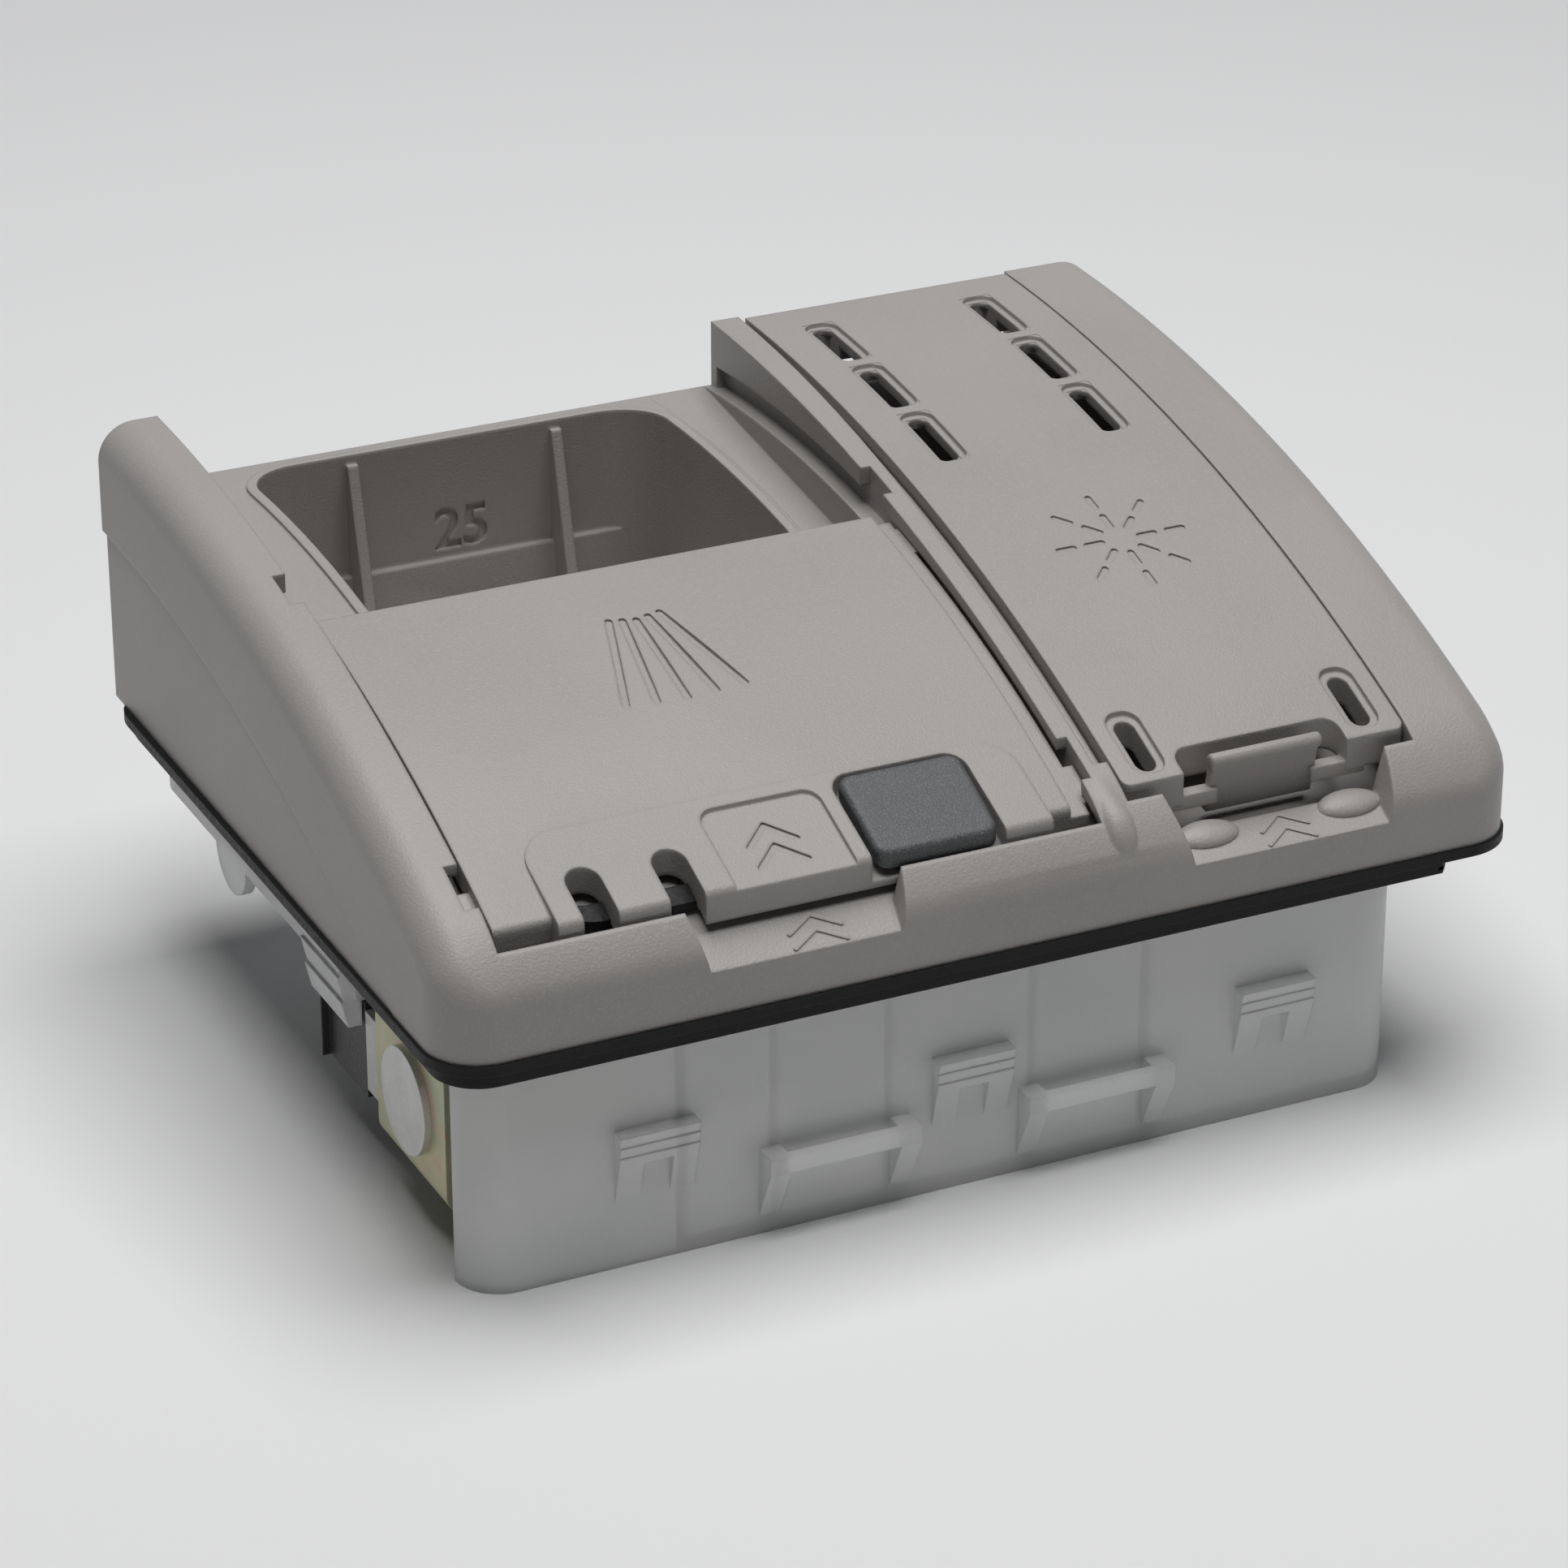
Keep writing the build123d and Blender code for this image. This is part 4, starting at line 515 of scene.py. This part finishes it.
# Below a long arc the left wall steps in, more at the far end than at the near end
crease_radius = 0.265
crease_middle = (-0.0875, 0.070, -0.1959)
crease_thick = 0.004
crease_step = 0.0007
crease_lean = 0.005
bpy.ops.object.select_all(action="DESELECT")
bpy.ops.mesh.primitive_cylinder_add(vertices=360, radius=crease_radius, depth=crease_thick)
disc = bpy.context.object
disc.matrix_world = (
    Matrix.Translation(crease_middle)
    @ Matrix.Rotation(-crease_lean, 4, "Z")
    @ Matrix.Translation((crease_step - crease_thick / 2, 0, 0))
    @ Matrix.Rotation(radians(90), 4, "Y")
)
bpy.ops.object.transform_apply(location=True, rotation=True)
carve(housing, disc)

wear(grey_skin, housing)
pick(housing)
bpy.ops.object.shade_smooth_by_angle(angle=smooth_angle)
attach(housing, "dispenser")
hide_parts("front_housing")


# Sliding detergent lid. The same grey moulding, curved to its track, with a fan of five shallow
# strips on its face and two chevrons in the pad for the finger.
lid = shown_copy("detergent_lid")
track_axis = (0.0458371, -0.1684941)
track_radius = 0.250


def on_circle(x, y, axis, radius):
    """Point of a face that is curved about an axis along X, and the way out of it."""
    out = Vector((0, y - axis[0], sqrt(radius**2 - (y - axis[0]) ** 2)))
    return Vector((x, axis[0] + out.y, axis[1] + out.z)), out.normalized()


# The strips spread towards the near side, and the outer ones lie a little further back
fan_middle = -0.0317
fan_far = -0.0104
fan_near = -0.0287
far_pitch = 0.00206
near_pitch = 0.00477
fan_bend = 0.0004
strips = []
for index in range(-2, 3):
    bend = fan_bend * abs(index)
    start = on_circle(fan_middle + index * far_pitch, fan_far + bend, track_axis, track_radius)[0]
    end, out = on_circle(fan_middle + index * near_pitch, fan_near + bend, track_axis, track_radius)
    strips.append(bar_tool(start, end, width=0.0012, depth=0.00035, up=out))
carve(lid, joined(strips))

# The pad is flat: a point of it, its slope, and the two chevrons that are cut into it
pad_point = (-0.05385, 0.060609)
pad_slope = 0.3886
pad_out = Vector((0, -pad_slope, 1)).normalized()
pad_middle = -0.0316
pad_first = -0.0612
pad_pitch = 0.00385
pad_reach = 0.0034
pad_half = 0.0038
for row in range(2):
    start = pad_first + row * pad_pitch
    tip = on_slope(pad_middle, start + pad_reach, pad_point, pad_slope)
    for side in (-1, 1):
        end = on_slope(pad_middle + side * pad_half, start, pad_point, pad_slope)
        carve(lid, bar_tool(tip, end, width=0.00085, depth=0.0003, up=pad_out))

wear(grey_skin, lid)
pick(lid)
bpy.ops.object.shade_smooth_by_angle(angle=smooth_angle)
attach(lid, "sliding_lid")
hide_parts("detergent_lid")


# Release button. Dark speckled moulding that springs up out of the lid,
# on a short coil spring that stands on a shelf of the lid.
charcoal = finish_material(
    "charcoal_speckle",
    colours=((0.044, 0.046, 0.048, 1), (0.056, 0.058, 0.060, 1)),
    speck=(0.150, 0.153, 0.156, 1),
    edge=(0.105, 0.108, 0.111, 1),
    grain_scale=3800,
    cloud_scale=500,
    gloss=(0.36, 0.52),
    bump=0.5,
    edge_round=0.0005,
)
wear(charcoal, nodes["lid_button"])
coil_spring("button_spring", "sliding_lid")


# Rinse lid. Grey moulding like the housing, hinged at its far end, with a star of dashes
# pressed into its face and the latch tongue on two stubs.
rinse_lid = shown_copy("rinse_lid")
crown_axis = (0.0728, -0.2444)
crown_radius = 0.331
star_middle = (0.0479, -0.0143)
star_arms = 8
dash_spans = ((0.0033, 0.0058), (0.0082, 0.0107))
dashes = []
for arm in range(star_arms):
    turn = radians(360 / star_arms * arm)
    for span in dash_spans:
        ends = []
        for reach in span:
            x = star_middle[0] + reach * cos(turn)
            y = star_middle[1] + reach * sin(turn)
            point, out = on_circle(x, y, crown_axis, crown_radius)
            ends.append(point)
        dashes.append(bar_tool(ends[0], ends[1], width=0.0011, depth=0.0003, up=out))
carve(rinse_lid, joined(dashes))


def block(low, high, round_edge=0.0):
    """Box between two corners, its edges rounded where a radius is given."""
    bpy.ops.object.select_all(action="DESELECT")
    bpy.ops.mesh.primitive_cube_add(size=1)
    box = bpy.context.object
    box.scale = [far - near for near, far in zip(low, high)]
    box.location = [(far + near) / 2 for near, far in zip(low, high)]
    bpy.ops.object.transform_apply(location=True, scale=True)
    if round_edge:
        soften = box.modifiers.new("soften", "BEVEL")
        soften.width = round_edge
        soften.segments = 5
        bpy.ops.object.modifier_apply(modifier=soften.name)
    return box


# The vents and their sunk borders have round corners: each corner is filled, then rounded off
vent_columns = (0.0328, 0.0615)
vent_rows = (0.0539, 0.0367, 0.0195)
corner_overlap = 0.0002
filler_heights = (0.0760, 0.0880)
hole_heights = (0.0700, 0.0940)
lid_middle = 0.0470


def crown_disc(radius):
    """Disc whose rim runs with the curve of the lid's face."""
    bpy.ops.object.select_all(action="DESELECT")
    bpy.ops.mesh.primitive_cylinder_add(vertices=720, radius=radius, depth=0.1)
    disc = bpy.context.object
    disc.matrix_world = Matrix.Translation((lid_middle, *crown_axis)) @ Matrix.Rotation(radians(90), 4, "Y")
    bpy.ops.object.transform_apply(location=True, rotation=True)
    return disc


def fill_corners(half_width, half_length, corner, top, foot):
    """Round the corners of six openings, between two depths under the lid's face."""
    fillers = []
    for x in vent_columns:
        for y in vent_rows:
            wide = half_width + corner_overlap
            long = half_length + corner_overlap
            filler = block((x - wide, y - long, filler_heights[0]), (x + wide, y + long, filler_heights[1]))
            low = (x - half_width, y - half_length, hole_heights[0])
            high = (x + half_width, y + half_length, hole_heights[1])
            carve(filler, block(low, high, corner))
            fillers.append(filler)
    corners = joined(fillers)
    carve(corners, crown_disc(crown_radius - top), "INTERSECT")
    carve(corners, crown_disc(crown_radius - foot))
    carve(rinse_lid, corners, "UNION")


fill_corners(half_width=0.0028, half_length=0.0076, corner=0.0022, top=0.00008, foot=0.0011)
fill_corners(half_width=0.0017, half_length=0.0065, corner=0.0015, top=0.00082, foot=0.0016)

# The solid's latch is cut away for the tongue as it really is
notch_low = (0.03325, -0.0665, 0.0400)
notch_high = (0.06105, -0.05665, 0.0680)
carve(rinse_lid, block(notch_low, notch_high, round_edge=0.0024))

# The latch tongue leans in under a rolled lip
tongue_middle = (0.04715, -0.0596, 0.0549)
tongue_lean = radians(12)
tongue = block((-0.0090, -0.0008, -0.0047), (0.0090, 0.0008, 0.0047), round_edge=0.0003)
tongue.matrix_world = Matrix.Translation(tongue_middle) @ Matrix.Rotation(tongue_lean, 4, "X")
bpy.ops.object.transform_apply(location=True, rotation=True)
lip_middle = (0.04715, -0.0606, 0.0591)
bpy.ops.object.select_all(action="DESELECT")
bpy.ops.mesh.primitive_cylinder_add(vertices=32, radius=0.0011, depth=0.0186)
lip = bpy.context.object
soften = lip.modifiers.new("soften", "BEVEL")
soften.width = 0.0004
soften.segments = 3
bpy.ops.object.modifier_apply(modifier=soften.name)
lip.matrix_world = Matrix.Translation(lip_middle) @ Matrix.Rotation(radians(90), 4, "Y")
bpy.ops.object.transform_apply(location=True, rotation=True)
carve(tongue, lip, "UNION")

# It hangs on two square stubs, which run under the corners of the lid and rise into them
stubs = ((0.0300, 0.0392), (0.0551, 0.0643))
risers = ((0.0300, 0.0324), (0.0619, 0.0643))
stub_low = (-0.0611, 0.0523)
stub_high = (-0.0587, 0.0547)
riser_low = (-0.0609, 0.0540)
riser_high = (-0.0589, 0.0572)
stub_round = 0.0002
for stub, riser in zip(stubs, risers):
    carve(tongue, block((stub[0], *stub_low), (stub[1], *stub_high), stub_round), "UNION")
    carve(tongue, block((riser[0], *riser_low), (riser[1], *riser_high), stub_round), "UNION")
carve(rinse_lid, tongue, "UNION")

wear(grey_skin, rinse_lid)
pick(rinse_lid)
bpy.ops.object.shade_smooth_by_angle(angle=smooth_angle)
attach(rinse_lid, "rinse_cover")
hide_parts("rinse_lid")


# Table. A plain pale board that runs on behind the part, with painted light that makes it a little
# lighter at its far side, under one large soft lamp in a dim room.
floor_near = (0.785, 0.787, 0.787, 1)
floor_far = (0.880, 0.882, 0.890, 1)
no_glow = (0, 0, 0, 1)
far_glow = (0.56, 0.57, 0.59, 1)
bpy.ops.object.select_all(action="DESELECT")
bpy.ops.mesh.primitive_plane_add(size=8, location=(0, 1.5, 0))
table = bpy.context.object
table.name = "table"
bpy.ops.object.transform_apply(location=True)
matte = bpy.data.materials.new("pale_table")
matte.use_nodes = True
tree = matte.node_tree
shader = tree.nodes["Principled BSDF"]
shader.inputs["Roughness"].default_value = 0.55
place = tree.nodes.new("ShaderNodeTexCoord")
axes = tree.nodes.new("ShaderNodeSeparateXYZ")
tree.links.new(place.outputs["Object"], axes.inputs["Vector"])
# Painted light: the board's colour grows lighter towards its far side.
fade = scaled(tree, axes.outputs["Y"], start=-0.25, end=0.75, low=0.0, high=1.0)
tree.links.new(mixed(tree, fade, floor_near, floor_far), shader.inputs["Base Color"])

# Far from the part the board glows for the camera alone, so that the background stays pale
distance = tree.nodes.new("ShaderNodeVectorMath")
distance.operation = "LENGTH"
tree.links.new(place.outputs["Object"], distance.inputs[0])
rays = tree.nodes.new("ShaderNodeLightPath")
seen_far = tree.nodes.new("ShaderNodeMath")
seen_far.operation = "MULTIPLY"
far = scaled(tree, distance.outputs["Value"], start=0.55, end=1.9, low=0.0, high=1.0)
tree.links.new(far, seen_far.inputs[0])
tree.links.new(rays.outputs["Is Camera Ray"], seen_far.inputs[1])
glow = mixed(tree, seen_far.outputs["Value"], no_glow, far_glow)
tree.links.new(glow, shader.inputs["Emission Color"])
shader.inputs["Emission Strength"].default_value = 1.0
wear(matte, table)

# One square lamp with a diffuser hangs over the part
lamp = bpy.data.lights.new("overhead", "AREA")
lamp.shape = "SQUARE"
lamp.size = 1.0
lamp.energy = 15.2
holder = bpy.data.objects.new("overhead", lamp)
holder.location = (0.04, -0.02, 1.18)
holder.rotation_euler = (radians(1), radians(2), 0)
bpy.context.scene.collection.objects.link(holder)

# The room is dim as a light, and brighter where it is seen, mirrored or looked at through the body
world = bpy.data.worlds.new("studio")
world.use_nodes = True
tree = world.node_tree
surround = tree.nodes["Background"]
surround.inputs["Color"].default_value = (0.86, 0.88, 0.92, 1)
rays = tree.nodes.new("ShaderNodeLightPath")
seen = rays.outputs["Is Camera Ray"]
for kind in ("Is Glossy Ray", "Is Transmission Ray"):
    either = tree.nodes.new("ShaderNodeMath")
    either.operation = "MAXIMUM"
    tree.links.new(seen, either.inputs[0])
    tree.links.new(rays.outputs[kind], either.inputs[1])
    seen = either.outputs["Value"]
room_light = scaled(tree, seen, start=0.0, end=1.0, low=0.02, high=0.65)
tree.links.new(room_light, surround.inputs["Strength"])
bpy.context.scene.world = world
bpy.context.scene.view_settings.view_transform = "Standard"

# The camera stands where the photo was taken from
camera_data = bpy.data.cameras.new("camera")
camera_data.sensor_width = 36
camera_data.lens = 125.97
camera_pitch = radians(90 - 25.739)
camera_turn = radians(-25.588)
camera = bpy.data.objects.new("camera", camera_data)
camera.location = (-0.33276, -0.68978, 0.40619)
camera.rotation_euler = (camera_pitch, 0, camera_turn)
bpy.context.scene.collection.objects.link(camera)
bpy.context.scene.camera = camera
